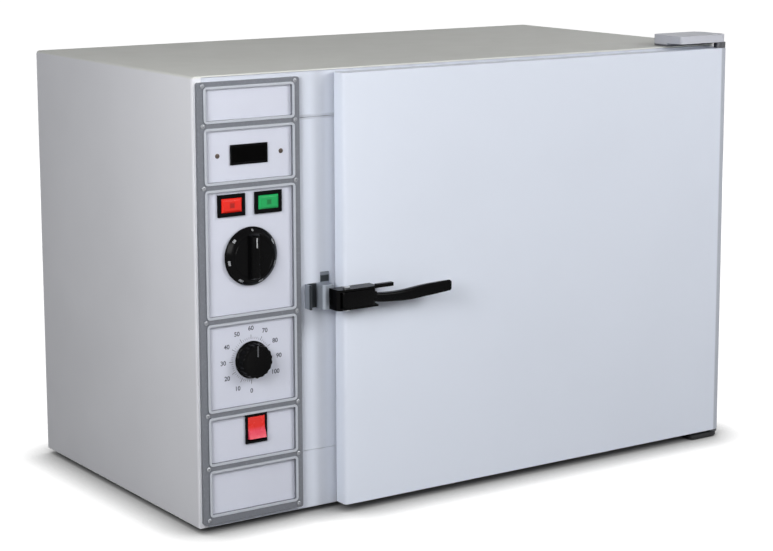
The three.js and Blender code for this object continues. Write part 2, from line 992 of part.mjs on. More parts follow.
place('control_frame', controlFrame(), trimMetal);
place('lower_badge_plate', cellPlate(lowerBadge, []), platePaint);
place('switch_plate', cellPlate(switchPlace, [hole(switchX, switchZ, ...switchHole)]), platePaint);
place('timer_plate', cellPlate(timerPlace, [roundHole(columnX, timerZ, bossRadius)]), platePaint);
place('thermostat_plate', cellPlate(thermostatPlace, [
  roundHole(columnX, thermostatZ, bossRadius),
  hole(columnX - lampSpacing / 2, lampZ, ...lampHole),
  hole(columnX + lampSpacing / 2, lampZ, ...lampHole),
]), platePaint);
place('display_plate', cellPlate(displayPlace, [hole(columnX, displayZ, ...displayHole)]), platePaint);
place('upper_badge_plate', cellPlate(upperBadge, []), platePaint);

// A panel insert: a rim in front of the plate, and a body that passes through its hole
function panelInsert(x, z, width, height, proud, bodyInset, bodyDepth) {
  const rimBack = plateFront - seat;
  const inset = bodyInset + seat;
  return joined([
    box(x - width / 2, x + width / 2, rimBack - proud, rimBack, z - height / 2, z + height / 2),
    box(
      x - width / 2 + inset,
      x + width / 2 - inset,
      rimBack - proud / 2,
      rimBack + bodyDepth,
      z - height / 2 + inset,
      z + height / 2 - inset,
    ),
  ]);
}

function displayBezel() {
  const body = panelInsert(
    columnX,
    displayZ,
    displayWidth,
    displayHeight,
    displayProud,
    displayBodyInset,
    displayBodyDepth,
  );
  const front = plateFront - seat - displayProud;
  const recess = box(
    columnX - displayWidth / 2 + displayRim,
    columnX + displayWidth / 2 - displayRim,
    front - overrun,
    front + displayProud,
    displayZ - displayHeight / 2 + displayRim,
    displayZ + displayHeight / 2 - displayRim,
  );
  return body.subtract(recess);
}

function displayWindow() {
  const front = plateFront - seat - displayProud;
  const edge = displayRim + seat;
  return box(
    columnX - displayWidth / 2 + edge,
    columnX + displayWidth / 2 - edge,
    front + seat,
    front + displayProud - seat,
    displayZ - displayHeight / 2 + edge,
    displayZ + displayHeight / 2 - edge,
  );
}

function lampBody(x) {
  const body = panelInsert(x, lampZ, lampWidth, lampHeight, lampProud, lampBodyInset, lampBodyDepth);
  const front = plateFront - seat - lampProud;
  const well = box(
    x - lampWidth / 2 + lampRim,
    x + lampWidth / 2 - lampRim,
    front - overrun,
    front + lampProud,
    lampZ - lampHeight / 2 + lampRim,
    lampZ + lampHeight / 2 - lampRim,
  );
  return body.subtract(well);
}

// The lens stands in the well and tapers to a smaller face
function lampLens(x) {
  const front = plateFront - seat - lampProud;
  const back = front + lampProud - seat;
  const halfWidth = lampWidth / 2 - lampRim - seat;
  const halfHeight = lampHeight / 2 - lampRim - seat;
  const block = box(
    x - halfWidth,
    x + halfWidth,
    front - lampLensProud,
    back,
    lampZ - halfHeight,
    lampZ + halfHeight,
  );
  const plan = new THREE.Shape();
  plan.moveTo(x - halfWidth, back);
  plan.lineTo(x - halfWidth, front);
  plan.lineTo(x - halfWidth + lampLensTaper, front - lampLensProud);
  plan.lineTo(x + halfWidth - lampLensTaper, front - lampLensProud);
  plan.lineTo(x + halfWidth, front);
  plan.lineTo(x + halfWidth, back);
  plan.closePath();
  const side = new THREE.Shape();
  side.moveTo(back, lampZ - halfHeight);
  side.lineTo(front, lampZ - halfHeight);
  side.lineTo(front - lampLensProud, lampZ - halfHeight + lampLensTaper);
  side.lineTo(front - lampLensProud, lampZ + halfHeight - lampLensTaper);
  side.lineTo(front, lampZ + halfHeight);
  side.lineTo(back, lampZ + halfHeight);
  side.closePath();
  return block
    .intersect(prismZ(plan, lampZ - lampHeight, lampZ + lampHeight))
    .intersect(prismX(side, x - lampWidth, x + lampWidth));
}

place('display_bezel', displayBezel(), blackPlastic);
place('display_window', displayWindow(), smokedLens);
const lamps = [['red', -1, redLens], ['green', 1, greenLens]];
for (const [colour, side, lens] of lamps) {
  const x = columnX + side * lampSpacing / 2;
  place(`${colour}_lamp_body`, lampBody(x), blackPlastic);
  place(`${colour}_lamp_lens`, lampLens(x), lens);
}

// Thermostat and timer: a body behind the plate, and a knob on its shaft in front
function dialBody(z, size, depth) {
  const body = box(columnX - size / 2, columnX + size / 2, 0, depth, z - size / 2, z + size / 2);
  const boss = rod([columnX, plateFront, z], [columnX, depth / 2, z], bossRadius - seat, 24);
  const bore = rod(
    [columnX, plateFront - overrun, z],
    [columnX, shaftReach + seat, z],
    shaftRadius + seat,
    16,
  );
  return body.add(boss).subtract(bore);
}

function shaft(z) {
  return rod([columnX, plateFront - knobGap - seat, z], [columnX, shaftReach, z], shaftRadius, 16);
}

function thermostatKnob() {
  const back = plateFront - knobGap;
  const skirt = turnedOut([
    [0, 0],
    [thermostatSkirtRadius, 0],
    [thermostatSkirtRadius, thermostatSkirtEdge],
    [thermostatTopRadius, thermostatSkirtHeight],
    [0, thermostatSkirtHeight],
  ], columnX, back, thermostatZ, 48);
  const half = thermostatGripWidth / 2;
  const tip = half - thermostatGripTaper;
  const section = new THREE.Shape();
  section.moveTo(columnX - half, back - thermostatSkirtEdge);
  section.lineTo(columnX - half, back - thermostatSkirtHeight);
  section.lineTo(columnX - tip, back - thermostatGripHeight);
  section.lineTo(columnX + tip, back - thermostatGripHeight);
  section.lineTo(columnX + half, back - thermostatSkirtHeight);
  section.lineTo(columnX + half, back - thermostatSkirtEdge);
  section.closePath();
  const bar = prismZ(section, thermostatZ - thermostatTopRadius, thermostatZ + thermostatTopRadius);
  const reach = turnedOut([
    [0, 0],
    [thermostatTopRadius - seat, 0],
    [thermostatTopRadius - seat, thermostatSkirtHeight],
    [thermostatTopRadius - thermostatGripTaper, thermostatGripHeight],
    [0, thermostatGripHeight],
  ], columnX, back, thermostatZ, 48);
  return joined([skirt, bar.intersect(reach), shaft(thermostatZ)]);
}

function timerKnob() {
  const back = plateFront - knobGap;
  const turned = turnedOut([
    [0, 0],
    [timerBaseRadius, 0],
    [timerBaseRadius, timerSkirtHeight / 2],
    [timerTopRadius + timerFluteRadius, timerSkirtHeight],
    [timerTopRadius, timerKnobHeight - timerFluteRadius],
    [timerTopRadius - timerFluteRadius, timerKnobHeight],
    [0, timerKnobHeight],
  ], columnX, back, timerZ, 36);
  const flutes = [];
  for (let i = 0; i < timerFlutes; i += 1) {
    const angle = (i + 0.5) / timerFlutes * 2 * Math.PI;
    const reach = timerTopRadius + timerFluteRadius / 2;
    const x = columnX + reach * Math.sin(angle);
    const z = timerZ + reach * Math.cos(angle);
    flutes.push(rod(
      [x, back - timerSkirtHeight, z],
      [x, back - timerKnobHeight - overrun, z],
      timerFluteRadius,
      6,
    ));
  }
  const pointer = box(
    columnX - timerPointer / 2,
    columnX + timerPointer / 2,
    back - timerKnobHeight - timerPointer / 2,
    back - timerKnobHeight + timerPointer,
    timerZ,
    timerZ + timerTopRadius - timerPointer,
  );
  return joined([without(turned, flutes), pointer, shaft(timerZ)]);
}

place('thermostat_body', dialBody(thermostatZ, thermostatBodySize, thermostatBodyDepth), galvanised);
place('timer_body', dialBody(timerZ, timerBodySize, timerBodyDepth), galvanised);
place('thermostat_knob', thermostatKnob(), blackPlastic);
place('timer_knob', timerKnob(), blackPlastic);

// Mains switch: a housing with a recess, and a rocker on two stub axles
const rockerY = plateFront - seat - switchProud + rockerPivotDepth;
const rockerWidth = switchWidth - 2 * (switchBodyInset + seat + switchRim) - 2 * rockerGap;
const rockerRise = rockerHalfHeight * Math.tan(THREE.MathUtils.degToRad(rockerTiltDegrees));
const rockerCorner = Math.hypot(rockerHalfHeight, rockerFace + rockerRise);

function switchHousing() {
  const body = panelInsert(
    switchX,
    switchZ,
    switchWidth,
    switchTall,
    switchProud,
    switchBodyInset,
    switchBodyDepth,
  );
  const halfWidth = rockerWidth / 2 + rockerGap;
  const halfHeight = rockerCorner + rockerGap / 2;
  const front = plateFront - seat - switchProud;
  const recess = box(
    switchX - halfWidth,
    switchX + halfWidth,
    front - overrun,
    front + switchRecess,
    switchZ - halfHeight,
    switchZ + halfHeight,
  );
  const axle = rod(
    [switchX - halfWidth - rockerAxleReach, rockerY, switchZ],
    [switchX + halfWidth + rockerAxleReach, rockerY, switchZ],
    rockerAxleRadius + seat,
    12,
  );
  return without(body, [recess, axle]);
}

function powerRocker() {
  const half = rockerWidth / 2;
  const profile = new THREE.Shape();
  profile.moveTo(rockerRear, -rockerHalfHeight);
  profile.lineTo(-rockerFace - rockerRise, -rockerHalfHeight);
  profile.lineTo(-rockerFace, 0);
  profile.lineTo(-rockerFace - rockerRise, rockerHalfHeight);
  profile.lineTo(rockerRear, rockerHalfHeight);
  profile.closePath();
  const geometry = new THREE.ExtrudeGeometry(profile, { depth: 2 * half, bevelEnabled: false });
  geometry.applyMatrix4(new THREE.Matrix4().makeBasis(
    new THREE.Vector3(0, 1, 0),
    new THREE.Vector3(0, 0, 1),
    new THREE.Vector3(1, 0, 0),
  ));
  geometry.rotateX(THREE.MathUtils.degToRad(-rockerTiltDegrees));
  geometry.translate(switchX - half, rockerY, switchZ);
  const axleEnd = half + rockerGap + rockerAxleReach - seat;
  const axle = rod(
    [switchX - axleEnd, rockerY, switchZ],
    [switchX + axleEnd, rockerY, switchZ],
    rockerAxleRadius,
    12,
  );
  return solidOf(geometry).add(axle);
}

place('switch_housing', switchHousing(), blackPlastic);
place('power_rocker', powerRocker(), redRocker);

// Temperature sensor: a bulb along the back wall, whose capillary runs out through the side wall
// and the bulkhead and bends forward to the thermostat
function thermostatSensor() {
  const bulbNear = chamberLeft + sensorRearInset;
  const bulb = rod(
    [bulbNear, sensorY, sensorZ],
    [bulbNear + sensorLength, sensorY, sensorZ],
    sensorRadius,
    12,
  );
  const exit = bulkheadLeft - capillaryBend;
  const bodyRear = thermostatBodyDepth + seat;
  const route = new THREE.CatmullRomCurve3([
    new THREE.Vector3(bulbNear + capillaryBend, sensorY, sensorZ),
    new THREE.Vector3(bulbNear, sensorY, sensorZ),
    new THREE.Vector3(chamberLeft, sensorY, sensorZ),
    new THREE.Vector3(bulkheadRight, sensorY, sensorZ),
    new THREE.Vector3(bulkheadLeft, sensorY, sensorZ),
    new THREE.Vector3(exit, sensorY, sensorZ),
    new THREE.Vector3(columnX, (sensorY + bodyRear) / 2, (sensorZ + thermostatZ) / 2),
    new THREE.Vector3(columnX, bodyRear + capillaryBend, thermostatZ),
    new THREE.Vector3(columnX, bodyRear, thermostatZ),
  ]);
  return bulb.add(swept(route, capillaryRadius, 6, 40));
}

function displayProbe() {
  const inside = chamberLeft + probeLength;
  const outside = bulkheadLeft - seat;
  return joined([
    rod([inside, sensorY, probeZ], [outside, sensorY, probeZ], probeRadius, 10),
    rod([outside, sensorY, probeZ], [outside - probeHeadLength, sensorY, probeZ], probeHeadRadius, 6),
  ]);
}

place('thermostat_sensor', thermostatSensor(), steel);
place('display_probe', displayProbe(), steel);

// Vent: a tube from the chamber through the back, with a slotted cap
function ventTube() {
  const front = chamberBack - seat - ventCollarThickness;
  const back = cabinetDepth + ventStandOut;
  return joined([
    rod([chamberMiddle, front, ventZ], [chamberMiddle, back, ventZ], ventRadius, 32),
    rod(
      [chamberMiddle, front, ventZ],
      [chamberMiddle, front + ventCollarThickness, ventZ],
      ventRadius + ventCollar,
      24,
    ),
  ]).subtract(rod(
    [chamberMiddle, front - overrun, ventZ],
    [chamberMiddle, back + overrun, ventZ],
    ventRadius - ventWall,
    24,
  ));
}

const ventCapEnd = cabinetDepth + ventStandOut + seat + ventCapWall;

function ventCap() {
  const start = ventCapEnd - ventCapLength;
  const cup = rod(
    [chamberMiddle, start, ventZ],
    [chamberMiddle, ventCapEnd, ventZ],
    ventRadius + seat + ventCapWall,
    24,
  );
  const hollow = rod(
    [chamberMiddle, start - overrun, ventZ],
    [chamberMiddle, ventCapEnd - ventCapWall, ventZ],
    ventRadius + seat,
    24,
  );
  const slots = [];
  for (let i = 0; i < ventSlots; i += 1) {
    const rise = (i - (ventSlots - 1) / 2) * ventSlotPitch;
    const z = ventZ + rise;
    const reach = Math.sqrt((ventRadius - ventWall) ** 2 - (Math.abs(rise) + ventSlotWidth / 2) ** 2);
    slots.push(box(
      chamberMiddle - reach,
      chamberMiddle + reach,
      ventCapEnd - ventCapWall - overrun,
      ventCapEnd + overrun,
      z - ventSlotWidth / 2,
      z + ventSlotWidth / 2,
    ));
  }
  return without(cup, [hollow, ...slots]);
}

place('vent_tube', ventTube(), stainless);
place('vent_cap', ventCap(), stainless);

// Mains inlet on the back, with three blades in its recess
function mainsInlet() {
  const face = cabinetDepth + seat + inletFlange;
  const body = joined([
    prismY(
      outline(
        inletX - inletWidth / 2,
        inletX + inletWidth / 2,
        inletZ - inletHeight / 2,
        inletZ + inletHeight / 2,
        inletRadius,
      ),
      cabinetDepth + seat,
      face,
      coarseArc,
    ),
    box(
      inletX - inletBodyWidth / 2,
      inletX + inletBodyWidth / 2,
      face - inletBodyDepth,
      face - inletFlange / 2,
      inletZ - inletBodyHeight / 2,
      inletZ + inletBodyHeight / 2,
    ),
  ]);
  const halfWidth = inletMouthWidth / 2;
  const halfHeight = inletMouthHeight / 2;
  const mouth = new THREE.Shape();
  mouth.moveTo(inletX - halfWidth, inletZ - halfHeight);
  mouth.lineTo(inletX + halfWidth, inletZ - halfHeight);
  mouth.lineTo(inletX + halfWidth, inletZ + halfHeight - inletMouthChamfer);
  mouth.lineTo(inletX + halfWidth - inletMouthChamfer, inletZ + halfHeight);
  mouth.lineTo(inletX - halfWidth + inletMouthChamfer, inletZ + halfHeight);
  mouth.lineTo(inletX - halfWidth, inletZ + halfHeight - inletMouthChamfer);
  mouth.closePath();
  const floor = face - inletMouthDepth;
  const blades = [[-1, -1], [0, 1], [1, -1]].map(([across, up]) => {
    const x = inletX + across * inletPinPitch;
    const z = inletZ + up * inletPinOffset;
    return box(
      x - inletPinWidth / 2,
      x + inletPinWidth / 2,
      floor - overrun,
      floor + inletPinLength,
      z - inletPinHeight / 2,
      z + inletPinHeight / 2,
    );
  });
  return joined([body.subtract(prismY(mouth, floor, face + overrun)), ...blades]);
}

function terminalBlock() {
  const x0 = inletX - terminalWidth / 2;
  const y0 = cabinetDepth - terminalInset;
  const base = panFloor + seat;
  const block = box(x0, x0 + terminalWidth, y0, y0 + terminalDepth, base, base + terminalHeight);
  const grooves = [];
  for (let i = 1; i < terminalWays; i += 1) {
    const x = x0 + i / terminalWays * terminalWidth;
    grooves.push(box(
      x - terminalGroove / 2,
      x + terminalGroove / 2,
      y0 - overrun,
      y0 + terminalDepth + overrun,
      base + terminalHeight / 2,
      base + terminalHeight + overrun,
    ));
  }
  return without(block, grooves);
}

place('mains_inlet', mainsInlet(), blackPlastic);
place('terminal_block', terminalBlock(), ceramic);

// Door: a pressed skin, a pan that reaches into the chamber mouth, wool between them and a gasket
const doorRight = right;
const doorLeft = openingLeft - doorLap;
const doorLow = bodyBottom + doorBottomGap;
const doorHigh = bodyTop - doorTopGap;
const doorBack = -doorGap;
const doorFront = doorBack - doorThickness;
const skinBack = doorBack - innerPanelSheet - seat;
const pinX = doorRight - hingePinInset;
const pinY = doorBack - hingePinDepth;
const bushRadius = hingePinRadius + seat + hingeBushWall;

function skinOutline(inset) {
  const radius = (value) => Math.max(value - inset, seat);
  return outline(doorLeft + inset, doorRight - inset, doorFront + inset, skinBack - inset, [
    radius(doorEdgeRadius),
    radius(doorHingeRadius),
    radius(doorBackRadius),
    radius(doorBackRadius),
  ]);
}

function bushHole(gap, low, high) {
  return rod([pinX, pinY, low], [pinX, pinY, high], bushRadius + gap, 16);
}

function doorSkin() {
  const outer = prismZ(skinOutline(0), doorLow, doorHigh);
  const hollow = prismZ(skinOutline(doorSkinSheet), doorLow + doorSkinSheet, doorHigh - doorSkinSheet);
  const mouth = box(
    doorLeft + doorReturn,
    doorRight - doorReturn,
    skinBack - doorSkinSheet - overrun,
    skinBack + overrun,
    doorLow + doorReturn,
    doorHigh - doorReturn,
  );
  return without(outer, [
    hollow,
    mouth,
    bushHole(seat, doorLow - overrun, doorLow + doorSkinSheet + overrun),
    bushHole(seat, doorHigh - doorSkinSheet - overrun, doorHigh + overrun),
  ]);
}

const plugLeft = chamberLeft + plugClearance;
const plugRight = chamberRight - plugClearance;
const plugLow = chamberLow + plugClearance;
const plugHigh = chamberHigh - plugClearance;
const plugFront = doorBack + plugDepth;

function plugOutline(inset) {
  const radius = Math.max(plugRadius - inset, seat);
  return outline(plugLeft + inset, plugRight - inset, plugLow + inset, plugHigh - inset, radius);
}

function doorInnerPanel() {
  const plate = box(
    doorLeft + innerPanelInset,
    doorRight - innerPanelInset,
    doorBack - innerPanelSheet,
    doorBack,
    doorLow + innerPanelInset,
    doorHigh - innerPanelInset,
  );
  const plug = prismY(plugOutline(0), doorBack - innerPanelSheet, plugFront);
  const hollow = prismY(
    plugOutline(innerPanelSheet),
    doorBack - innerPanelSheet - overrun,
    plugFront - innerPanelSheet,
  );
  return plate.add(plug).subtract(hollow);
}

function doorInsulation() {
  const inset = doorSkinSheet + seat;
  const slabBack = skinBack - inset;
  const keep = box(
    doorLeft,
    doorRight,
    doorFront - overrun,
    slabBack,
    doorLow,
    doorHigh,
  );
  const slab = prismZ(skinOutline(inset), doorLow + inset, doorHigh - inset).intersect(keep);
  const coreFront = plugFront - innerPanelSheet - seat;
  const core = prismY(plugOutline(innerPanelSheet + seat), slabBack - overrun, coreFront);
  const deep = pinEngagement + seat;
  return without(joined([slab, core]), [
    bushHole(seat, doorLow, doorLow + deep),
    bushHole(seat, doorHigh - deep, doorHigh),
  ]);
}

function doorGasket() {
  const inner = gasketInset;
  const outer = gasketInset + gasketWidth;
  const ring = (reach, radius) => outline(
    openingLeft - reach,
    openingRight + reach,
    lowerSeam - reach,
    upperSeam + reach,
    radius,
  );
  const near = doorBack + seat;
  return prismY(ring(outer, gasketRadius), near, -seat).subtract(
    prismY(ring(inner, Math.max(gasketRadius - gasketWidth, seat)), near - overrun, overrun),
  );
}

place('door_skin', doorSkin(), doorEnamel);
place('door_inner_panel', doorInnerPanel(), stainless);
place('door_insulation', doorInsulation(), wool);
place('door_gasket', doorGasket(), silicone);

// Hinges: plates on the cabinet, pins in the plates, and collared bushes in the door
const plateRight = right - hingePlateInset;

function plateOutline(width) {
  return outline(
    plateRight - width,
    plateRight,
    doorFront,
    hingePlateBack,
    [doorEdgeRadius, hingePlateRadius, hingePlateRadius, hingePlateRadius],
  );
}

const armLow = bodyTop + upperPlateHeight - upperArmThickness;
const armHigh = bodyTop + upperPlateHeight;
const lowerPlateHigh = bodyBottom - seat;
const lowerPlateLow = lowerPlateHigh - lowerPlateThickness;

function upperHingePlate() {
  const block = prismZ(plateOutline(upperPlateWidth), bodyTop + seat, armHigh);
  const relief = box(
    plateRight - upperPlateWidth - overrun,
    right + overrun,
    doorFront - overrun,
    0,
    bodyTop - overrun,
    armLow,
  );
  const pinHole = rod(
    [pinX, pinY, armLow - overrun],
    [pinX, pinY, armHigh + overrun],
    hingePinRadius + seat,
    12,
  );
  return without(block, [relief, pinHole]);
}

function lowerHingePlate() {
  const plate = prismZ(plateOutline(lowerPlateWidth), lowerPlateLow, lowerPlateHigh);
  return plate.subtract(rod(
    [pinX, pinY, lowerPlateLow - overrun],
    [pinX, pinY, lowerPlateHigh + overrun],
    hingePinRadius + seat,
    12,
  ));
}

function hingePin(low, high) {
  return rod([pinX, pinY, low], [pinX, pinY, high], hingePinRadius, 12);
}

// The bush lines the hole in the door's edge; its collar fills the gap to the plate
function hingeBush(doorEdge, towardPlate, plateFace) {
  const inner = doorEdge - towardPlate * pinEngagement;
  const collarStart = doorEdge + towardPlate * seat;
  const collarEnd = plateFace - towardPlate * seat;
  const tube = rod([pinX, pinY, inner], [pinX, pinY, collarEnd], bushRadius, 16);
  const collar = rod([pinX, pinY, collarStart], [pinX, pinY, collarEnd], hingeCollarRadius, 16);
  const low = Math.min(inner, collarEnd) - overrun;
  const high = Math.max(inner, collarEnd) + overrun;
  const bore = rod([pinX, pinY, low], [pinX, pinY, high], hingePinRadius + seat, 12);
  return tube.add(collar).subtract(bore);
}

place('upper_hinge_plate', upperHingePlate(), enamel);
place('lower_hinge_plate', lowerHingePlate(), darkRubber);
place('upper_hinge_pin', hingePin(doorHigh - pinEngagement, armHigh), steel);
place('lower_hinge_pin', hingePin(lowerPlateLow, doorLow + pinEngagement), steel);
place('upper_hinge_bush', hingeBush(doorHigh, 1, armLow), steel);
place('lower_hinge_bush', hingeBush(doorLow, -1, lowerPlateHigh), steel);

// Latch: a housing that overhangs the door's edge, and a lever on a pin between its two cheeks
const latchZ = bodyBottom + latchHeight;
const housingLeft = doorLeft - latchOverhang;
const housingRight = housingLeft + latchLength;
const housingFront = doorFront - latchBodyDepth;
const housingBack = doorFront - seat;
const housingLow = latchZ - latchBodyHeight / 2;
const housingHigh = latchZ + latchBodyHeight / 2;
const latchPinX = housingLeft + latchPinInset;
const latchPinY = doorFront - latchPinOut;
const bayLow = housingLow + latchCheek;
const bayHigh = housingHigh - latchCheek;

function latchHousing() {
  const plan = outline(housingLeft, housingRight, housingFront, housingBack, [latchBodyRadius, 0, 0, 0]);
  const body = prismZ(plan, housingLow, housingHigh);
  const bay = box(
    housingLeft + latchEndWall,
    housingRight + overrun,
    housingFront - overrun,
    housingBack - latchBase,
    bayLow,
    bayHigh,
  );
  const tail = box(
    housingRight - overrun,
    housingRight + latchTailLength,
    housingFront,
    housingFront + latchTailWidth,
    bayHigh,
    housingHigh + latchTailRise,
  );
  const pinHole = rod(
    [latchPinX, latchPinY, housingLow - overrun],
    [latchPinX, latchPinY, housingHigh + overrun],
    latchPinRadius + seat,
    16,
  );
  return body.subtract(bay).add(tail).subtract(pinHole);
}

function latchPin() {
  const at = (z) => [latchPinX, latchPinY, z];
  const low = housingLow - seat;
  const high = housingHigh + seat;
  return joined([
    rod(at(low), at(high), latchPinRadius, 16),
    rod(at(low - latchPinHead), at(low), latchPinRadius + latchPinHead, 16),
    rod(at(high), at(high + latchPinHead), latchPinRadius + latchPinHead, 16),
  ]);
}

// The lever turns on the pin. Its arm is the overlap of a plan outline and an elevation outline.
const leverHub = latchPinOut - seat - latchBase - seat;
const leverFront = housingFront - leverHeadProud;
const headRight = housingRight - latchCheek;
const leverTip = housingLeft + leverLength;

function leverArm() {
  const start = headRight - leverHeadRadius;
  const tipOut = doorFront - leverReach;
  const tipIn = tipOut + leverBladeThickness;
  const bendX = start + leverSweep * (leverTip - start);
  const rootIn = latchPinY;
  const corner = leverBladeThickness / 2;
  const plan = new THREE.Shape();
  plan.moveTo(start, rootIn);
  plan.lineTo(start, leverFront);
  plan.quadraticCurveTo(bendX, leverFront, leverTip - corner, tipOut);
  plan.quadraticCurveTo(leverTip, tipOut, leverTip, tipOut + corner);
  plan.quadraticCurveTo(leverTip, tipIn, leverTip - corner, tipIn);
  plan.quadraticCurveTo(bendX, rootIn, start, rootIn);
  plan.closePath();
  const edge = (heightShares) => new THREE.SplineCurve(leverShares.map((place, i) => new THREE.Vector2(
    start + place * (leverTip - start),
    latchZ + heightShares[i] * leverBladeHeight,
  ))).getPoints(leverEdgeSteps);
  const side = new THREE.Shape([...edge(leverUndersideShares), ...edge(leverTopsideShares).reverse()]);
  return prismZ(plan, bayLow, bayHigh + leverBladeHeight, 6)
    .intersect(prismY(side, tipOut - overrun, rootIn + overrun, 6));
}

function latchLever() {
  const low = bayLow + seat;
  const high = bayHigh - seat;
  const headCorners = [leverHeadRadius, leverHeadRadius, 0, 0];
  const head = prismZ(
    outline(latchPinX - leverHeadReach, headRight, leverFront, latchPinY, headCorners),
    low,
    high,
    4,
  );
  const hub = rod([latchPinX, latchPinY, low], [latchPinX, latchPinY, high], leverHub, 32);
  const bore = rod(
    [latchPinX, latchPinY, low - overrun],
    [latchPinX, latchPinY, high + overrun],
    latchPinRadius + seat,
    16,
  );
  return joined([head, hub, leverArm()]).subtract(bore);
}

// The keeper on the mullion: a plate with a flange, a slot and a rounded block, and an ear above
function latchKeeper() {
  const keeperRight = doorLeft - keeperGap;
  const keeperLeft = keeperRight - keeperWidth;
  const low = latchZ - keeperHeight / 2;
  const high = latchZ + keeperHeight / 2;
  const face = -seat - keeperPlate;
  const blockLeft = keeperLeft + keeperFlange + keeperSlot;
  return joined([
    box(keeperLeft, keeperRight, face, -seat, low, high),
    box(keeperRight - keeperEarWidth, keeperRight, face, -seat, high - overrun, high + keeperEarHeight),
    box(keeperLeft, keeperLeft + keeperFlange, -seat - keeperFlangeOut, face + seat, low, high),
    prismZ(
      outline(
        blockLeft,
        blockLeft + keeperBlockWidth,
        -seat - keeperBlockOut,
        face + seat,
        [keeperBlockRadius, keeperBlockRadius, 0, 0],
      ),
      low,
      high,
    ),
  ]);
}

place('latch_housing', latchHousing(), blackPlastic);
place('latch_pin', latchPin(), steel);
place('latch_lever', latchLever(), blackPlastic);
place('latch_keeper', latchKeeper(), chrome);

// The origin is the middle of the underside of the whole oven
const reachFront = doorFront - leverReach;
const reachBack = ventCapEnd;
oven.position.y = -(reachFront + reachBack) / 2;

export default oven;
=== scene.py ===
"""Looks of a bench-top laboratory oven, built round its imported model. Metres, +Z up, front to -Y."""

import json
import math

import bmesh
import bpy
from mathutils import Matrix, Vector


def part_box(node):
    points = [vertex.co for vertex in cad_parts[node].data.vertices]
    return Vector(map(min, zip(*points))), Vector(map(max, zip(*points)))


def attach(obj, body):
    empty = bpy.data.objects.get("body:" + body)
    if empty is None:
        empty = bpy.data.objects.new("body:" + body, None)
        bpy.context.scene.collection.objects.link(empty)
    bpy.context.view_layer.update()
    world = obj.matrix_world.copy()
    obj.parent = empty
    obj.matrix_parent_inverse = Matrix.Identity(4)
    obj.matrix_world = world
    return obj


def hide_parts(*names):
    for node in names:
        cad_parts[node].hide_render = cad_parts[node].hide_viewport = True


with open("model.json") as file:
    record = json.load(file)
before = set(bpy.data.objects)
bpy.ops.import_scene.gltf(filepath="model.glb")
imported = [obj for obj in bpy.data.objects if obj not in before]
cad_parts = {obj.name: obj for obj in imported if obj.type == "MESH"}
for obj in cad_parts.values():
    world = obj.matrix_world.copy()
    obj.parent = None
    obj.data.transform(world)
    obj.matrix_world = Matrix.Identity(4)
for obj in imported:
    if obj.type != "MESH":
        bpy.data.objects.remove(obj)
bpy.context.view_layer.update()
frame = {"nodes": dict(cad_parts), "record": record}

MM = 0.001
FACING = Matrix.Rotation(math.pi / 2, 4, "X")

body_of = {n: body for body, names in frame["record"]["behaviour"]["bodies"].items() for n in names}
slot_of = {part["node"]: part["material_slot"] for part in frame["record"]["subparts"]}

# Camera of the photograph
PHOTO_WIDTH = 773
SENSOR_WIDTH = 36
FOCAL_PIXELS = 2056.4
CAMERA_PLACE = (-1.3192, -1.9651, 0.6741)
CAMERA_YAW = 0.6072
CAMERA_PITCH = 0.1620
CAMERA_SHIFT = (-0.0500, -0.0895)

# Floor, with the contact shadow on it
FLOOR_SIZE = 30
FLOOR_GREY = 0.22
SHADOW_REACH = 0.05
SHADOW_DEPTH = 2.2

# World and lamps: place, target, width and height, watts, colour
AMBIENT = 0.2
WHITE = (1, 1, 1)
WARM = (1, 0.97, 0.86)
SOFTBOXES = {
    "left": ((-1.05, -0.7, 0.65), (-0.35, -0.15, 0.3), (0.5, 0.5), 8.2, WHITE),
    "right": ((0.8, -1.5, 1.05), (0.1, -0.17, 0.25), (0.7, 0.7), 15, WHITE),
    "front": ((-0.4, -3.0, 1.6), (0, 0, 0.25), (1.2, 1.2), 8, WHITE),
    "rear": ((1.5, 2.0, 0.25), (0.1, 0.2, 0.25), (1.2, 0.4), 30, WHITE),
    "top": ((0.4, 0.6, 2.6), (0, 0, 0.3), (1.6, 1.6), 0.5, WARM),
}

# Latch lever, in millimetres: the arm follows heights over the pin, given by shares of its length
ARM_LENGTH = 94.5
ARM_HEAD_END = 89.0
ARM_HEAD_EDGE = 1.2
ARM_STEPS = 30
ARM_START = 0.02
ARM_TIP_START = 0.985
ARM_TIP_SHARES = [0.995, 1.0]
ARM_TIP_INSET = 1.3
ARM_CORNER = 2.2
ARM_CORNER_STEPS = 4
ARM_NEAR = 10.5
ARM_NEAR_SWEEP = 10.5
ARM_FAR = 20
ARM_FAR_SWEEP = 14.5
ARM_UNDERSIDE = [
    (0, -5), (0.12, -7), (0.25, -7.8), (0.4, -8.3), (0.52, -8.1), (0.69, -6.3), (0.874, -4.1), (1, -2.2),
]
ARM_TOPSIDE = [(0, 4), (0.12, 2.8), (0.25, 2.2), (0.4, 2.6), (0.52, 4), (0.69, 6.4), (0.874, 8.1), (1, 9.2)]

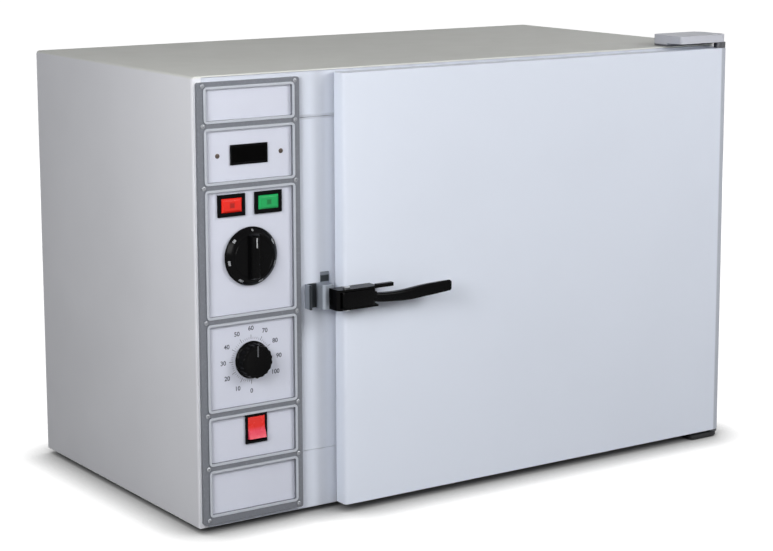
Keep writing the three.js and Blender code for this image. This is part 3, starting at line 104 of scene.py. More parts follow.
# Both knobs, in millimetres. A profile gives radius, distance out and depth of the flutes
KNOB_STEM = 3
THERMOSTAT_OUT = 14
THERMOSTAT_FACE = 7
THERMOSTAT_STEPS = 96
THERMOSTAT_PROFILE = [
    (29.9, 0), (30.5, 0.5), (30.5, 1.7), (30.2, 2.3), (24.7, 6.8), (24.2, THERMOSTAT_FACE),
    (22.6, THERMOSTAT_FACE), (22.3, 6.7), (21.6, 6.7), (21.3, THERMOSTAT_FACE), (0, THERMOSTAT_FACE),
]
TIMER_OUT = 14.2
TIMER_STEPS = 144
TIMER_FLUTES = 18
TIMER_PROFILE = [
    (19.3, 0), (19.7, 0.4), (19.7, 1.3), (19.2, 2.0), (18.4, 2.9, 0.2), (18.3, 3.4, 0.9), (17.9, 11.2, 0.9),
    (17.4, 12.2, 0.7), (16.6, 12.8, 0.3), (15.6, 13), (13.4, 13), (12.6, 12.6), (0, 12.6),
]

# Thermostat's grip, narrower towards its top. A layer gives a share of its height and an inset
GRIP_HALF = 6.5
GRIP_HALF_TAPER = 3
GRIP_REACH = 24.1
GRIP_REACH_TAPER = 2.7
GRIP_STEPS = 8
GRIP_LAYERS = [(-0.1, 0), (0, 0), (0.35, 0), (0.7, 0), (0.88, 0.15), (0.96, 0.45), (1, 1.0)]

# Marks of the thermostat: figures on the slope of its skirt, and a pointer on its grip
SKIRT_RISE = 4.5
SKIRT_RUN = 5.5
HEAT_FIGURES = 7
HEAT_STEP = 50
HEAT_TURN = 50
HEAT_FIGURE_HEIGHT = 2.7
HEAT_FIGURE_DEPTH = 0.06
HEAT_FIGURE_RADIUS = 27.5
HEAT_FIGURE_OUT = 4.52
HEAT_POINTER = ((-0.6, 13.95, 10), (0.6, 14.03, 20.4))

# Marks of the timer: figures and ticks on its plate, each tick's length and width, and a pointer
TIME_START = 180
TIME_FIGURES = 11
TIME_STEP = 10
TIME_TURN = 30
TIME_FIGURE_HEIGHT = 4.6
TIME_FIGURE_DEPTH = 0.04
TIME_FIGURE_RADIUS = 33
TIME_FIGURE_OUT = 0.03
TICKS = 51
TICK_TURN = 6
TICKS_TO_LONG = 5
TICK_RADIUS = 21.4
TICK_DEPTH = 0.05
LONG_TICK = (4.6, 0.5)
SHORT_TICK = (2.2, 0.3)
TIME_POINTER = ((-0.7, 12.5, 5), (0.7, 13.3, 16.2))
TIME_POINTER_EDGE = 0.2

# Lettering: a figure's height as a share of the font's size, and extra weight as a share of that
FIGURE_SHARE = 0.7
WEIGHT_SHARE = 0.03
FIGURE_CURVE_STEPS = 4

# Screws: shares of the radius and the height, then radius, height and width of the recess
SCREW_STEPS = 24
SCREW_PROFILE = [(1.0, 0.0), (1.0, 0.35), (0.93, 0.62), (0.75, 0.85), (0.45, 0.97), (0.0, 1.0)]
RECESS_REACH = 0.62
RECESS_FLOOR = 0.35
RECESS_TOP = 1.5
TRIM_SCREW = (2.5, 1.4, 0.9)
PLATE_SCREW = (2.5, 0.9, 1.3)

# Turns of the screws in degrees, and their places from the edges or the middle of their parts
FIRST_TURN = 12
NEXT_TURN = 37
CHANNEL_DEPTH = 1.4
TRIM_SIDE = 5.6
TRIM_BOTTOM = 4.5
TRIM_TOP = 3.5
DISPLAY_SCREWS = (-36, 38)
REAR_SIDE = 8
REAR_END = 9

# Plates behind the trim frame's windows, from the bottom up
PANEL_PLATES = ("lower_badge", "switch", "timer", "thermostat", "display", "upper_badge")

# Model nodes that are shown as finished copies, and the width of their rounded edges in millimetres
DRESSED = {
    "cabinet_wrapper": 0.4,
    "rear_cover": 0.4,
    "base_pan": 0.4,
    "front_top_rail": 0.0,
    "front_bottom_rail": 0.0,
    "front_mullion": 0.0,
    "front_right_post": 0.0,
    "chamber_liner": 0.3,
    "chamber_floor_plate": 0.3,
    "control_frame": 0.3,
    "lower_badge_plate": 0.3,
    "switch_plate": 0.3,
    "timer_plate": 0.3,
    "thermostat_plate": 0.3,
    "display_plate": 0.3,
    "upper_badge_plate": 0.3,
    "display_bezel": 0.4,
    "display_window": 0.2,
    "red_lamp_body": 0.5,
    "green_lamp_body": 0.5,
    "red_lamp_lens": 0.4,
    "green_lamp_lens": 0.4,
    "switch_housing": 0.4,
    "power_rocker": 0.5,
    "door_skin": 0.3,
    "door_inner_panel": 0.3,
    "door_gasket": 1.0,
    "upper_hinge_plate": 0.8,
    "lower_hinge_plate": 0.6,
    "latch_housing": 0.8,
    "latch_keeper": 0.4,
    "latch_pin": 0.3,
    "foot_front_left": 0.8,
    "foot_front_right": 0.8,
    "foot_rear_left": 0.8,
    "foot_rear_right": 0.8,
    "vent_tube": 0.3,
    "vent_cap": 0.4,
    "mains_inlet": 0.5,
    "shelf_rack_left": 0.0,
    "shelf_rack_right": 0.0,
    "lower_shelf": 0.0,
    "upper_shelf": 0.0,
    "heating_element": 0.0,
}

# Angle in degrees past which an edge stays sharp
SHARP = 30
SHARP_ON_UNROUNDED = 50
SHARP_ON_FLUTES = 40
SHARP_ON_SCREWS = 25


# Camera and stage
def add_camera():
    data = bpy.data.cameras.new("camera")
    data.sensor_width = SENSOR_WIDTH
    data.lens = FOCAL_PIXELS / PHOTO_WIDTH * data.sensor_width
    data.shift_x, data.shift_y = CAMERA_SHIFT
    data.clip_end = 100
    camera = bpy.data.objects.new("camera", data)
    camera.location = CAMERA_PLACE
    camera.rotation_euler = (math.pi / 2 - CAMERA_PITCH, 0, -CAMERA_YAW)
    bpy.context.scene.collection.objects.link(camera)
    bpy.context.scene.camera = camera


def shown_directly(tree):
    """A value of 1 for rays that show the background, in the picture or mirrored in metal and glass"""
    path = tree.nodes.new("ShaderNodeLightPath")
    total = path.outputs["Is Camera Ray"]
    for name in ("Is Glossy Ray", "Is Transmission Ray"):
        either = tree.nodes.new("ShaderNodeMath")
        either.operation = "MAXIMUM"
        tree.links.new(total, either.inputs[0])
        tree.links.new(path.outputs[name], either.inputs[1])
        total = either.outputs[0]
    return total


def add_world():
    world = bpy.data.worlds.new("studio")
    bpy.context.scene.world = world
    world.use_nodes = True
    tree = world.node_tree
    tree.nodes.clear()
    output = tree.nodes.new("ShaderNodeOutputWorld")
    mix = tree.nodes.new("ShaderNodeMixShader")
    soft = tree.nodes.new("ShaderNodeBackground")
    soft.inputs["Strength"].default_value = AMBIENT
    white = tree.nodes.new("ShaderNodeBackground")
    for background in (soft, white):
        background.inputs["Color"].default_value = (1, 1, 1, 1)
    tree.links.new(shown_directly(tree), mix.inputs["Fac"])
    tree.links.new(soft.outputs[0], mix.inputs[1])
    tree.links.new(white.outputs[0], mix.inputs[2])
    tree.links.new(mix.outputs[0], output.inputs["Surface"])


def floor_material():
    """A dull grey to the lamps and white to the eye, apart from the shadow close to the object"""
    material = bpy.data.materials.new("floor_white")
    material.use_nodes = True
    tree = material.node_tree
    shader = tree.nodes["Principled BSDF"]
    shader.inputs["Base Color"].default_value = (FLOOR_GREY, FLOOR_GREY, FLOOR_GREY, 1)
    shader.inputs["Roughness"].default_value = 0.9
    shader.inputs["Specular IOR Level"].default_value = 0
    shader.inputs["Emission Color"].default_value = (1, 1, 1, 1)
    nearby = tree.nodes.new("ShaderNodeAmbientOcclusion")
    nearby.samples = 8
    nearby.inputs["Distance"].default_value = SHADOW_REACH
    shadow = tree.nodes.new("ShaderNodeMath")
    shadow.operation = "POWER"
    shadow.inputs[1].default_value = SHADOW_DEPTH
    tree.links.new(nearby.outputs["AO"], shadow.inputs[0])
    glow = tree.nodes.new("ShaderNodeMath")
    glow.operation = "MULTIPLY"
    tree.links.new(shown_directly(tree), glow.inputs[0])
    tree.links.new(shadow.outputs[0], glow.inputs[1])
    tree.links.new(glow.outputs[0], shader.inputs["Emission Strength"])
    return material


def add_floor():
    mesh = bpy.data.meshes.new("floor")
    half = FLOOR_SIZE / 2
    corners = [(-half, -half, 0), (half, -half, 0), (half, half, 0), (-half, half, 0)]
    mesh.from_pydata(corners, [], [(0, 1, 2, 3)])
    mesh.materials.append(floor_material())
    floor = bpy.data.objects.new("floor", mesh)
    bpy.context.scene.collection.objects.link(floor)


def add_softbox(name, place, target, size, power, tint):
    data = bpy.data.lights.new(name, "AREA")
    data.color = tint
    data.shape = "RECTANGLE"
    data.size, data.size_y = size
    data.energy = power
    light = bpy.data.objects.new(name, data)
    light.location = place
    aim = Vector(target) - Vector(place)
    light.rotation_euler = aim.to_track_quat("-Z", "Y").to_euler()
    bpy.context.scene.collection.objects.link(light)


# Colours and the making of materials
def colour(red, green, blue):
    """A colour given as its 0 to 255 values in a picture, as the shader's linear values"""
    values = []
    for value in (red, green, blue):
        share = value / 255
        values.append(share / 12.92 if share <= 0.04045 else ((share + 0.055) / 1.055) ** 2.4)
    return (*values, 1)


def shade(base, factor):
    return (base[0] * factor, base[1] * factor, base[2] * factor, 1)


class Finish:
    """A material with a Principled shader, and the textures that feed it"""

    def __init__(self, name, **sockets):
        self.material = bpy.data.materials.new(name)
        self.material.use_nodes = True
        self.tree = self.material.node_tree
        self.shader = self.tree.nodes["Principled BSDF"]
        for socket, value in sockets.items():
            self.shader.inputs[socket.replace("_", " ")].default_value = value
        self.place = self.tree.nodes.new("ShaderNodeTexCoord").outputs["Object"]
        self.normal = None

    def node(self, kind, **values):
        node = self.tree.nodes.new(kind)
        for name, value in values.items():
            setattr(node, name, value)
        return node

    def put(self, socket, value):
        """Gives a node's socket a value, or another node's output"""
        if isinstance(value, (int, float, tuple)):
            socket.default_value = value
        else:
            self.tree.links.new(value, socket)

    def stretched(self, stretch):
        if stretch is None:
            return self.place
        mapping = self.node("ShaderNodeMapping")
        mapping.inputs["Scale"].default_value = stretch
        self.tree.links.new(self.place, mapping.inputs["Vector"])
        return mapping.outputs[0]

    def noise(self, scale, detail, stretch=None, distortion=0.0):
        node = self.node("ShaderNodeTexNoise")
        node.inputs["Scale"].default_value = scale
        node.inputs["Detail"].default_value = detail
        node.inputs["Distortion"].default_value = distortion
        self.tree.links.new(self.stretched(stretch), node.inputs["Vector"])
        return node.outputs["Fac"]

    def cells(self, scale, output="Color", stretch=None):
        node = self.node("ShaderNodeTexVoronoi")
        node.inputs["Scale"].default_value = scale
        self.tree.links.new(self.stretched(stretch), node.inputs["Vector"])
        return node.outputs[output]

    def axis(self, letter, source=None):
        node = self.node("ShaderNodeSeparateXYZ")
        self.tree.links.new(source or self.place, node.inputs[0])
        return node.outputs[letter]

    def math(self, operation, first, second=0.0):
        node = self.node("ShaderNodeMath", operation=operation)
        for socket, value in zip(node.inputs, (first, second)):
            self.put(socket, value)
        return node.outputs[0]

    def span(self, source, low, high, start=0.3, stop=0.7):
        """A value that goes from low to high as the source goes from start to stop"""
        node = self.node("ShaderNodeMapRange")
        node.inputs["From Min"].default_value = start
        node.inputs["From Max"].default_value = stop
        node.inputs["To Min"].default_value = low
        node.inputs["To Max"].default_value = high
        self.tree.links.new(source, node.inputs["Value"])
        return node.outputs[0]

    def along(self, letter, start, stop, low=0, high=1):
        """A value that goes from low to high between two places along an axis"""
        return self.span(self.axis(letter), low, high, start, stop)

    def beside(self, letter, place, full, none, strength):
        """A value that falls from a strength to 0 between two distances from a place along an axis"""
        away = self.math("ABSOLUTE", self.math("SUBTRACT", self.axis(letter), place))
        return self.span(away, strength, 0, full, none)

    def uneven(self, source, noise, amount):
        return self.math("ADD", source, self.span(noise, -amount, amount))

    def blended(self, factor, low, high):
        """A mix of two colours, each a value or another node's output"""
        node = self.node("ShaderNodeMix", data_type="RGBA")
        self.tree.links.new(factor, node.inputs["Factor"])
        for socket, value in zip([socket for socket in node.inputs if socket.type == "RGBA"], (low, high)):
            self.put(socket, value)
        return [socket for socket in node.outputs if socket.type == "RGBA"][0]

    def between(self, source, low, high, start, stop):
        """A colour from low to high as the source goes from start to stop"""
        return self.blended(self.span(source, 0, 1, start, stop), low, high)

    def feed(self, socket, source):
        self.tree.links.new(source, self.shader.inputs[socket])

    def tones(self, source, low, high, start=0.3, stop=0.7):
        self.feed("Base Color", self.between(source, low, high, start, stop))

    def gloss(self, source, low, high, start=0.3, stop=0.7):
        self.feed("Roughness", self.span(source, low, high, start, stop))

    def relief(self, source, depth, strength):
        """Bump of a depth in metres, on top of what is there already"""
        node = self.node("ShaderNodeBump")
        node.inputs["Strength"].default_value = strength
        node.inputs["Distance"].default_value = depth
        self.tree.links.new(source, node.inputs["Height"])
        if self.normal is not None:
            self.tree.links.new(self.normal, node.inputs["Normal"])
        self.normal = node.outputs[0]
        self.feed("Normal", self.normal)


class Paint(Finish):
    """Sprayed paint with a fine texture"""

    def __init__(self, name, roughness):
        super().__init__(name, Roughness=roughness, Specular_IOR_Level=0.2)
        self.gloss(self.noise(30, 4), roughness - 0.05, roughness + 0.07)
        self.relief(self.noise(520, 1), 0.00006, 0.5)

    def sheet(self):
        """The slow waves of a large sheet"""
        self.relief(self.noise(9, 1), 0.0004, 0.25)
        return self.material

    def darkened(self, mask, base, factor):
        """The paint's colour, and a darker shade of it where the mask is 1"""
        self.tones(self.uneven(mask, self.noise(6, 3), 0.03), base, shade(base, factor), 0, 1)


# Materials
def cabinet_paint():
    base = colour(206, 207, 212)
    paint = Paint("cabinet_enamel", 0.55)
    paint.tones(paint.noise(6, 3), shade(base, 0.975), shade(base, 1.02))
    return paint.sheet()


def front_paint():
    """Darker over the filled joint under the top rail, and a painted shadow of the door in a soft band
    beside it
    """
    joint_half, joint_edge = 1.8 * MM, 3.2 * MM
    shadow_from_door, shadow_half, shadow_edge = 16 * MM, 1.5 * MM, 9.5 * MM
    joint_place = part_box("front_top_rail")[0].z
    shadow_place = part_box("door_skin")[0].x - shadow_from_door
    paint = Paint("front_paint", 0.5)
    joint = paint.beside("Z", joint_place, joint_half, joint_edge, 0.8)
    # Painted shadow of the door, in a soft upright band beside its edge
    door_shadow = paint.beside("X", shadow_place, shadow_half, shadow_edge, 0.55)
    paint.darkened(paint.math("MAXIMUM", joint, door_shadow), colour(213, 218, 229), 0.76)
    return paint.sheet()


def hinge_paint():
    """Painted shade along the underside of the plate, dark as the gap under it"""
    painted_full, painted_none = 1.5 * MM, 2.5 * MM
    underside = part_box("upper_hinge_plate")[0].z
    paint = Paint("hinge_paint", 0.5)
    # Painted shade: the lowest millimetres of the plate are dark
    painted_light_mask = paint.along("Z", underside + painted_full, underside + painted_none, 0.9, 0)
    paint.darkened(painted_light_mask, colour(199, 201, 210), 0.12)
    return paint.material


def door_paint():
    """Painted shade, greyer where the sheet turns round the hinge side"""
    shade_full, shade_none = 11.5 * MM, 13.5 * MM
    hinge_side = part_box("door_skin")[1].x
    paint = Paint("door_enamel", 0.5)
    # Painted shade on the rounding at the hinge side
    shaded_edge = paint.along("X", hinge_side - shade_full, hinge_side - shade_none, 0.65, 0)
    paint.darkened(shaded_edge, colour(224, 230, 242), 0.45)
    return paint.sheet()


def wrapper_paint():
    """A painted highlight along the front edges, a little uneven, and painted shade on the top, which is a
    little darker and yellower
    """
    # The top's colour is painted shade: a little darker and yellower than the sides
    side, top = colour(208, 209, 214), colour(203, 204, 200)
    highlight_gain = 1.28
    top_none, top_full = 3 * MM, 1 * MM
    painted_full, painted_none = 1.5 * MM, 4.5 * MM
    low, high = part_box("cabinet_wrapper")
    paint = Paint("wrapper_paint", 0.55)
    shaded_top = paint.along("Z", high.z - top_none, high.z - top_full)
    # Painted highlight along the rounded front edges
    edge_highlight = paint.along("Y", low.y + painted_full, low.y + painted_none, 0.85, 0)
    painted_light_mask = paint.math("ADD", edge_highlight, paint.span(paint.noise(6, 3), 0, 0.15))
    whole = paint.between(shaded_top, side, top, 0, 1)
    painted_light_tone = paint.between(shaded_top, shade(side, highlight_gain), shade(top, highlight_gain), 0, 1)
    paint.feed("Base Color", paint.blended(painted_light_mask, whole, painted_light_tone))
    return paint.sheet()


def plate_paint():
    base = colour(208, 211, 224)
    finish = Finish("plate_paint", Roughness=0.4)
    finish.tones(finish.noise(12, 4), shade(base, 0.965), shade(base, 1.02))
    finish.gloss(finish.noise(80, 4), 0.32, 0.46)
    finish.relief(finish.noise(1200, 2), 0.00002, 0.4)
    return finish.material


def panel_trim():
    """Grey trim with painted highlights on its raised beads and painted shade in the channels between them
    """
    flat_shade, bead_highlight = colour(112, 115, 122), colour(178, 182, 190)
    channel, crown = 1.1 * MM, 0.3 * MM
    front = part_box("control_frame")[0].y
    finish = Finish("panel_trim", Metallic=0.3, Roughness=0.38, Specular_IOR_Level=0.3)
    # Painted highlight on the beads, painted shade in the channels
    raised = finish.along("Y", front + channel, front + crown)
    finish.tones(finish.uneven(raised, finish.noise(420, 3), 0.08), flat_shade, bead_highlight, 0, 1)
    finish.gloss(finish.noise(60, 4), 0.3, 0.46)
    finish.relief(finish.noise(900, 2), 0.00004, 0.5)
    return finish.material


def brushed(name, base, roughness, stretch):
    """Metal with a grain along the axis that has the smallest factor"""
    finish = Finish(name, Metallic=1.0, Roughness=roughness)
    grain = finish.noise(420, 5, stretch)
    finish.tones(grain, shade(base, 0.9), shade(base, 1.06))
    finish.gloss(finish.noise(160, 4, stretch), roughness - 0.02, roughness + 0.06)
    finish.relief(grain, 0.000004, 0.4)
    return finish.material


def upright_brushed(name, base, roughness):
    return brushed(name, base, roughness, (1, 1, 0.05))


def chrome():
    base = (0.4, 0.43, 0.48, 1)
    finish = Finish("chrome_plate", Metallic=1.0, Roughness=0.16)
    finish.tones(finish.noise(30, 4), shade(base, 0.94), shade(base, 1.06))
    finish.gloss(finish.noise(120, 5), 0.12, 0.3)
    finish.relief(finish.noise(60, 3), 0.00006, 0.4)
    return finish.material


def keeper_metal():
    """Dull plated metal, with painted shade in the slot, at the flange's edge and on the ear, less dark at
    the ear's top
    """
    blur = 0.3 * MM
    low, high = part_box("latch_keeper")
    slot_start, slot_end = low.x + 1.5 * MM, low.x + 12.3 * MM
    slot_shallow, slot_deep = high.y - 5.2 * MM, high.y - 3.2 * MM
    plate_inside, plate_outside = high.y - 2 * MM, high.y - 3.2 * MM
    ear_start, ear_full = high.z - 11 * MM, high.z - 10 * MM
    ear_fade, ear_lit = high.z - 4 * MM, high.z - 3 * MM
    flange_full, flange_none = low.x + 2.2 * MM, low.x + 2.6 * MM
    edge_full, edge_none = high.y - 9.8 * MM, high.y - 8.8 * MM
    finish = Finish("keeper_metal", Metallic=0.35, Roughness=0.42)

    def both(first, second):
        return finish.math("MULTIPLY", first, second)

    in_slot = both(
        both(
            finish.along("X", slot_start, slot_start + blur),
            finish.along("X", slot_end, slot_end + blur, 1, 0),
        ),
        finish.along("Y", slot_shallow, slot_deep),
    )
    on_ear = both(
        both(
            finish.along("Z", ear_start, ear_full),
            finish.along("Z", ear_fade, ear_lit, 1, 0.4),
        ),
        finish.along("Y", plate_inside, plate_outside, 1, 0),
    )
    on_flange = both(
        finish.along("X", flange_full, flange_none, 1, 0),
        finish.along("Y", edge_full, edge_none, 1, 0),
    )
    # Painted shade: the slot, the flange's edge and the ear are dark
    black = finish.math("MAXIMUM", finish.math("MAXIMUM", in_slot, on_ear), on_flange)
    painted_light_tone = finish.uneven(black, finish.noise(30, 4), 0.06)
    finish.tones(painted_light_tone, (0.3, 0.33, 0.38, 1), (0.02, 0.025, 0.03, 1), 0, 1)
    finish.gloss(finish.noise(120, 5), 0.32, 0.46)
    finish.relief(finish.noise(60, 3), 0.00006, 0.4)
    return finish.material


def galvanised():
    finish = Finish("galvanised_steel", Metallic=0.9, Roughness=0.45)
    flakes = finish.cells(120)
    finish.tones(flakes, (0.34, 0.36, 0.38, 1), (0.56, 0.58, 0.6, 1), 0.1, 0.9)
    finish.gloss(flakes, 0.34, 0.58, 0.1, 0.9)
    finish.relief(finish.noise(260, 3), 0.00004, 0.4)
    return finish.material


def sheath():
    """Scaled metal of a heating element"""
    finish = Finish("element_sheath", Metallic=0.6, Roughness=0.55)
    scale = finish.noise(90, 6)
    finish.tones(scale, (0.05, 0.045, 0.042, 1), (0.17, 0.14, 0.12, 1))
    finish.gloss(scale, 0.4, 0.7)
    finish.relief(finish.noise(500, 4), 0.0001, 0.6)
    return finish.material


def gloss_plastic(name, base, roughness, level, grain=0.00002):
    finish = Finish(name, Roughness=roughness, Specular_IOR_Level=level)
    finish.tones(finish.noise(90, 3), shade(base, 0.85), shade(base, 1.15))
    finish.gloss(finish.noise(140, 5), roughness - 0.04, roughness + 0.1)
    finish.relief(finish.noise(700, 2), grain, 0.4)
    return finish.material


def lens_plastic(name, base, node):
    """A moulded lens, darker in a square at its middle, where the lamp behind it sits"""
    square_half, square_edge = 1.8 * MM, 3.4 * MM
    finish = Finish(name, Roughness=0.2, Specular_IOR_Level=0.3)
    prisms = finish.cells(620, "Distance", stretch=(1, 0.01, 1))
    finish.relief(prisms, 0.0001, 0.4)
    offset = finish.node("ShaderNodeVectorMath", operation="SUBTRACT")
    offset.inputs[1].default_value = node_middle(node)
    finish.tree.links.new(finish.place, offset.inputs[0])
    size = finish.node("ShaderNodeVectorMath", operation="ABSOLUTE")
    finish.tree.links.new(offset.outputs[0], size.inputs[0])
    across, height = finish.axis("X", size.outputs[0]), finish.axis("Z", size.outputs[0])
    from_middle = finish.math("MAXIMUM", across, height)
    finish.tones(from_middle, shade(base, 0.5), base, square_half, square_edge)
    finish.gloss(finish.noise(200, 3), 0.14, 0.28)
    return finish.material


def rocker_plastic():
    """Red plastic with a painted reflection on its lower half, which is paler and pinker"""
    middle_share, blur = 0.47, 2 * MM
    low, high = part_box("power_rocker")
    middle = low.z + middle_share * (high.z - low.z)
    finish = Finish("red_rocker", Roughness=0.24, Specular_IOR_Level=0.4)
    # Painted reflection: the lower half is paler and pinker
    finish.tones(finish.axis("Z"), colour(226, 66, 88), colour(222, 34, 22), middle - blur, middle + blur)
    finish.gloss(finish.noise(140, 5), 0.2, 0.34)
    finish.relief(finish.noise(700, 2), 0.00002, 0.4)
    return finish.material


def printed(name, base):
    finish = Finish(name, Roughness=0.5, Specular_IOR_Level=0.3)
    finish.tones(finish.noise(900, 4), shade(base, 0.8), shade(base, 1.15))
    finish.gloss(finish.noise(300, 3), 0.4, 0.62)
    finish.relief(finish.noise(1500, 2), 0.00001, 0.4)
    return finish.material


def ceramic():
    finish = Finish("terminal_ceramic", Roughness=0.55)
    finish.tones(finish.noise(180, 5), (0.6, 0.58, 0.52, 1), (0.74, 0.73, 0.68, 1))
    finish.gloss(finish.noise(90, 3), 0.45, 0.65)
    finish.relief(finish.noise(400, 4), 0.0001, 0.5)
    return finish.material


def rubber(name, base, roughness):
    finish = Finish(name, Roughness=roughness, Specular_IOR_Level=0.3)
    finish.tones(finish.noise(120, 5), shade(base, 0.75), shade(base, 1.35))
    finish.gloss(finish.noise(60, 4), roughness - 0.1, roughness + 0.12)
    finish.relief(finish.noise(800, 4), 0.0001, 0.5)
    return finish.material


def wool():
    finish = Finish("glass_wool", Roughness=0.95, Specular_IOR_Level=0.1)
    fibres = finish.noise(160, 8, stretch=(1, 1, 0.25), distortion=1.5)
    finish.tones(fibres, (0.42, 0.37, 0.2, 1), (0.72, 0.68, 0.48, 1))
    finish.gloss(fibres, 0.85, 1.0)
    finish.relief(fibres, 0.001, 0.8)
    return finish.material


def slot_materials():
    """The material of each slot of the record"""
    return {
        "cabinet_enamel": cabinet_paint(),
        "door_enamel": door_paint(),
        "stainless_steel": brushed("stainless_steel", (0.6, 0.61, 0.62, 1), 0.37, (0.04, 1, 1)),
        "panel_trim": panel_trim(),
        "plate_paint": plate_paint(),
        "chrome_plate": chrome(),
        "bright_steel": upright_brushed("bright_steel", (0.46, 0.47, 0.49, 1), 0.28),
        "black_plastic": gloss_plastic("black_plastic", (0.0015, 0.0015, 0.0018, 1), 0.16, 0.05),
        "smoked_window": gloss_plastic("smoked_window", (0.001, 0.001, 0.001, 1), 0.1, 0.02, 0.000005),
        "red_lens": lens_plastic("red_lens", colour(228, 34, 18), "red_lamp_lens"),
        "green_lens": lens_plastic("green_lens", colour(14, 160, 84), "green_lamp_lens"),
        "red_rocker": rocker_plastic(),
        "galvanised_steel": galvanised(),
        "terminal_ceramic": ceramic(),
        "dark_rubber": rubber("dark_rubber", (0.02, 0.02, 0.022, 1), 0.7),
        "silicone_seal": rubber("silicone_seal", (0.27, 0.085, 0.055, 1), 0.5),
        "glass_wool": wool(),
        "element_sheath": sheath(),
    }


def node_materials():
    """The materials of nodes that differ from the rest of their slot"""
    front_sheets = ("front_top_rail", "front_bottom_rail", "front_mullion", "front_right_post")
    made = dict.fromkeys(front_sheets, front_paint())
    made["cabinet_wrapper"] = wrapper_paint()
    made["upper_hinge_plate"] = hinge_paint()
    made["latch_keeper"] = keeper_metal()
    return made


# Meshes and pieces
def node_middle(node):
    low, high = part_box(node)
    return (low + high) / 2


def shaded_mesh(mesh, sharp):
    """Smooth shading, with sharp edges where the surface turns by more than a number of degrees"""
    if "custom_normal" in mesh.attributes:
        mesh.attributes.remove(mesh.attributes["custom_normal"])
    mesh.shade_smooth()
    mesh.set_sharp_from_angle(angle=math.radians(sharp))


def object_of(name, shape):
    mesh = bpy.data.meshes.new(name)
    bmesh.ops.recalc_face_normals(shape, faces=shape.faces)
    shape.to_mesh(mesh)
    shape.free()
    item = bpy.data.objects.new(name, mesh)
    bpy.context.scene.collection.objects.link(item)
    return item


def mesh_shape(item):
    """The mesh of an object, which is then removed"""
    shape = bmesh.new()
    shape.from_mesh(item.data)
    mesh = item.data
    bpy.data.objects.remove(item)
    bpy.data.meshes.remove(mesh)
    return shape


def model_shape(node):
    """The mesh of a model node, joined where its faces meet"""
    shape = bmesh.new()
    shape.from_mesh(frame["nodes"][node].data)
    bmesh.ops.remove_doubles(shape, verts=shape.verts, dist=1e-6)
    return shape


def merged(target, shape, matrix=None):
    """Adds a shape to another, moved by a matrix"""
    mesh = bpy.data.meshes.new("part")
    if matrix is not None:
        shape.transform(matrix)
    shape.to_mesh(mesh)
    shape.free()
    target.from_mesh(mesh)
    bpy.data.meshes.remove(mesh)


def applied(piece):
    """Turns the modifiers of a piece into its mesh"""
    graph = bpy.context.evaluated_depsgraph_get()
    mesh = bpy.data.meshes.new_from_object(piece.evaluated_get(graph))
    piece.modifiers.clear()
    old = piece.data
    piece.data = mesh
    bpy.data.meshes.remove(old)
    mesh.name = piece.name


def softened(piece, width, sharp=SHARP):
    """Rounds the sharp edges of a piece by a width in millimetres"""
    if not width:
        return
    bevel = piece.modifiers.new("edges", "BEVEL")
    bevel.width = width * MM
    bevel.segments = 2
    bevel.limit_method = "ANGLE"
    bevel.angle_limit = math.radians(sharp)
    bevel.harden_normals = True
    bevel.use_clamp_overlap = True
    applied(piece)


def finished_piece(name, shape, body, slot, nodes=(), edge=0.0, sharp=SHARP, material=None):
    """Makes a piece from a bmesh, which rides on a body and may stand for model nodes"""
    piece = object_of(name, shape)
    shaded_mesh(piece.data, sharp)
    softened(piece, edge, sharp)
    piece.data.materials.clear()
    piece.data.materials.append(material or materials[slot])
    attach(piece, body)
    if nodes:
        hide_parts(*nodes)


def dress(node, edge):
    """A finished copy of a model node in its place, with rounded edges where a width is given"""
    shape = model_shape(node)
    bmesh.ops.dissolve_limit(
        shape, angle_limit=math.radians(0.5), verts=shape.verts, edges=shape.edges
    )
    finished_piece(
        f"{node}_dressed",
        shape,
        body_of[node],
        slot_of[node],
        [node],
        edge,
        SHARP if edge else SHARP_ON_UNROUNDED,
        own_materials.get(node),
    )


def point(middle, across, out, height):
    """A place given in millimetres to the right, towards the front and up from a middle"""
    return Vector((middle.x + across * MM, middle.y - out * MM, middle.z + height * MM))


def around(middle, radius, degrees, out):
    """The place on a dial at an angle clockwise from its top"""
    angle = math.radians(degrees)
    return point(middle, radius * math.sin(angle), out, radius * math.cos(angle))


def skinned(rings, capped=()):
    """A surface through rings of places, with a face over each capped ring. One place makes a tip"""
    shape = bmesh.new()
    loops = [[shape.verts.new(place) for place in ring] for ring in rings]
    for near, far in zip(loops, loops[1:]):
        for i in range(max(len(near), len(far))):
            following = i + 1
            corners = [
                near[i % len(near)],
                near[following % len(near)],
                far[following % len(far)],
                far[i % len(far)],
            ]
            shape.faces.new(list(dict.fromkeys(corners)))
    for i in capped:
        shape.faces.new(loops[i])
    return shape


def turned(profile, middle, steps, flutes):
    """A turned shape about an axis towards the front. Its profile is radius, distance out, flute depth"""
    rings = []
    for radius, out, *depth in profile:
        ring = []
        for i in range(steps if radius else 1):
            degrees = 360 * i / steps
            wave = (1 - math.cos(flutes * math.radians(degrees))) / 2
            ring.append(around(middle, radius - wave * depth[0] if depth else radius, degrees, out))
        rings.append(ring)
    return skinned(rings)


def block(low, high):
    """A box between two corners"""
    shape = bmesh.new()
    bmesh.ops.create_cube(shape, size=1)
    for vert in shape.verts:
        for i in range(3):
            vert.co[i] = low[i] + (vert.co[i] + 0.5) * (high[i] - low[i])
    return shape


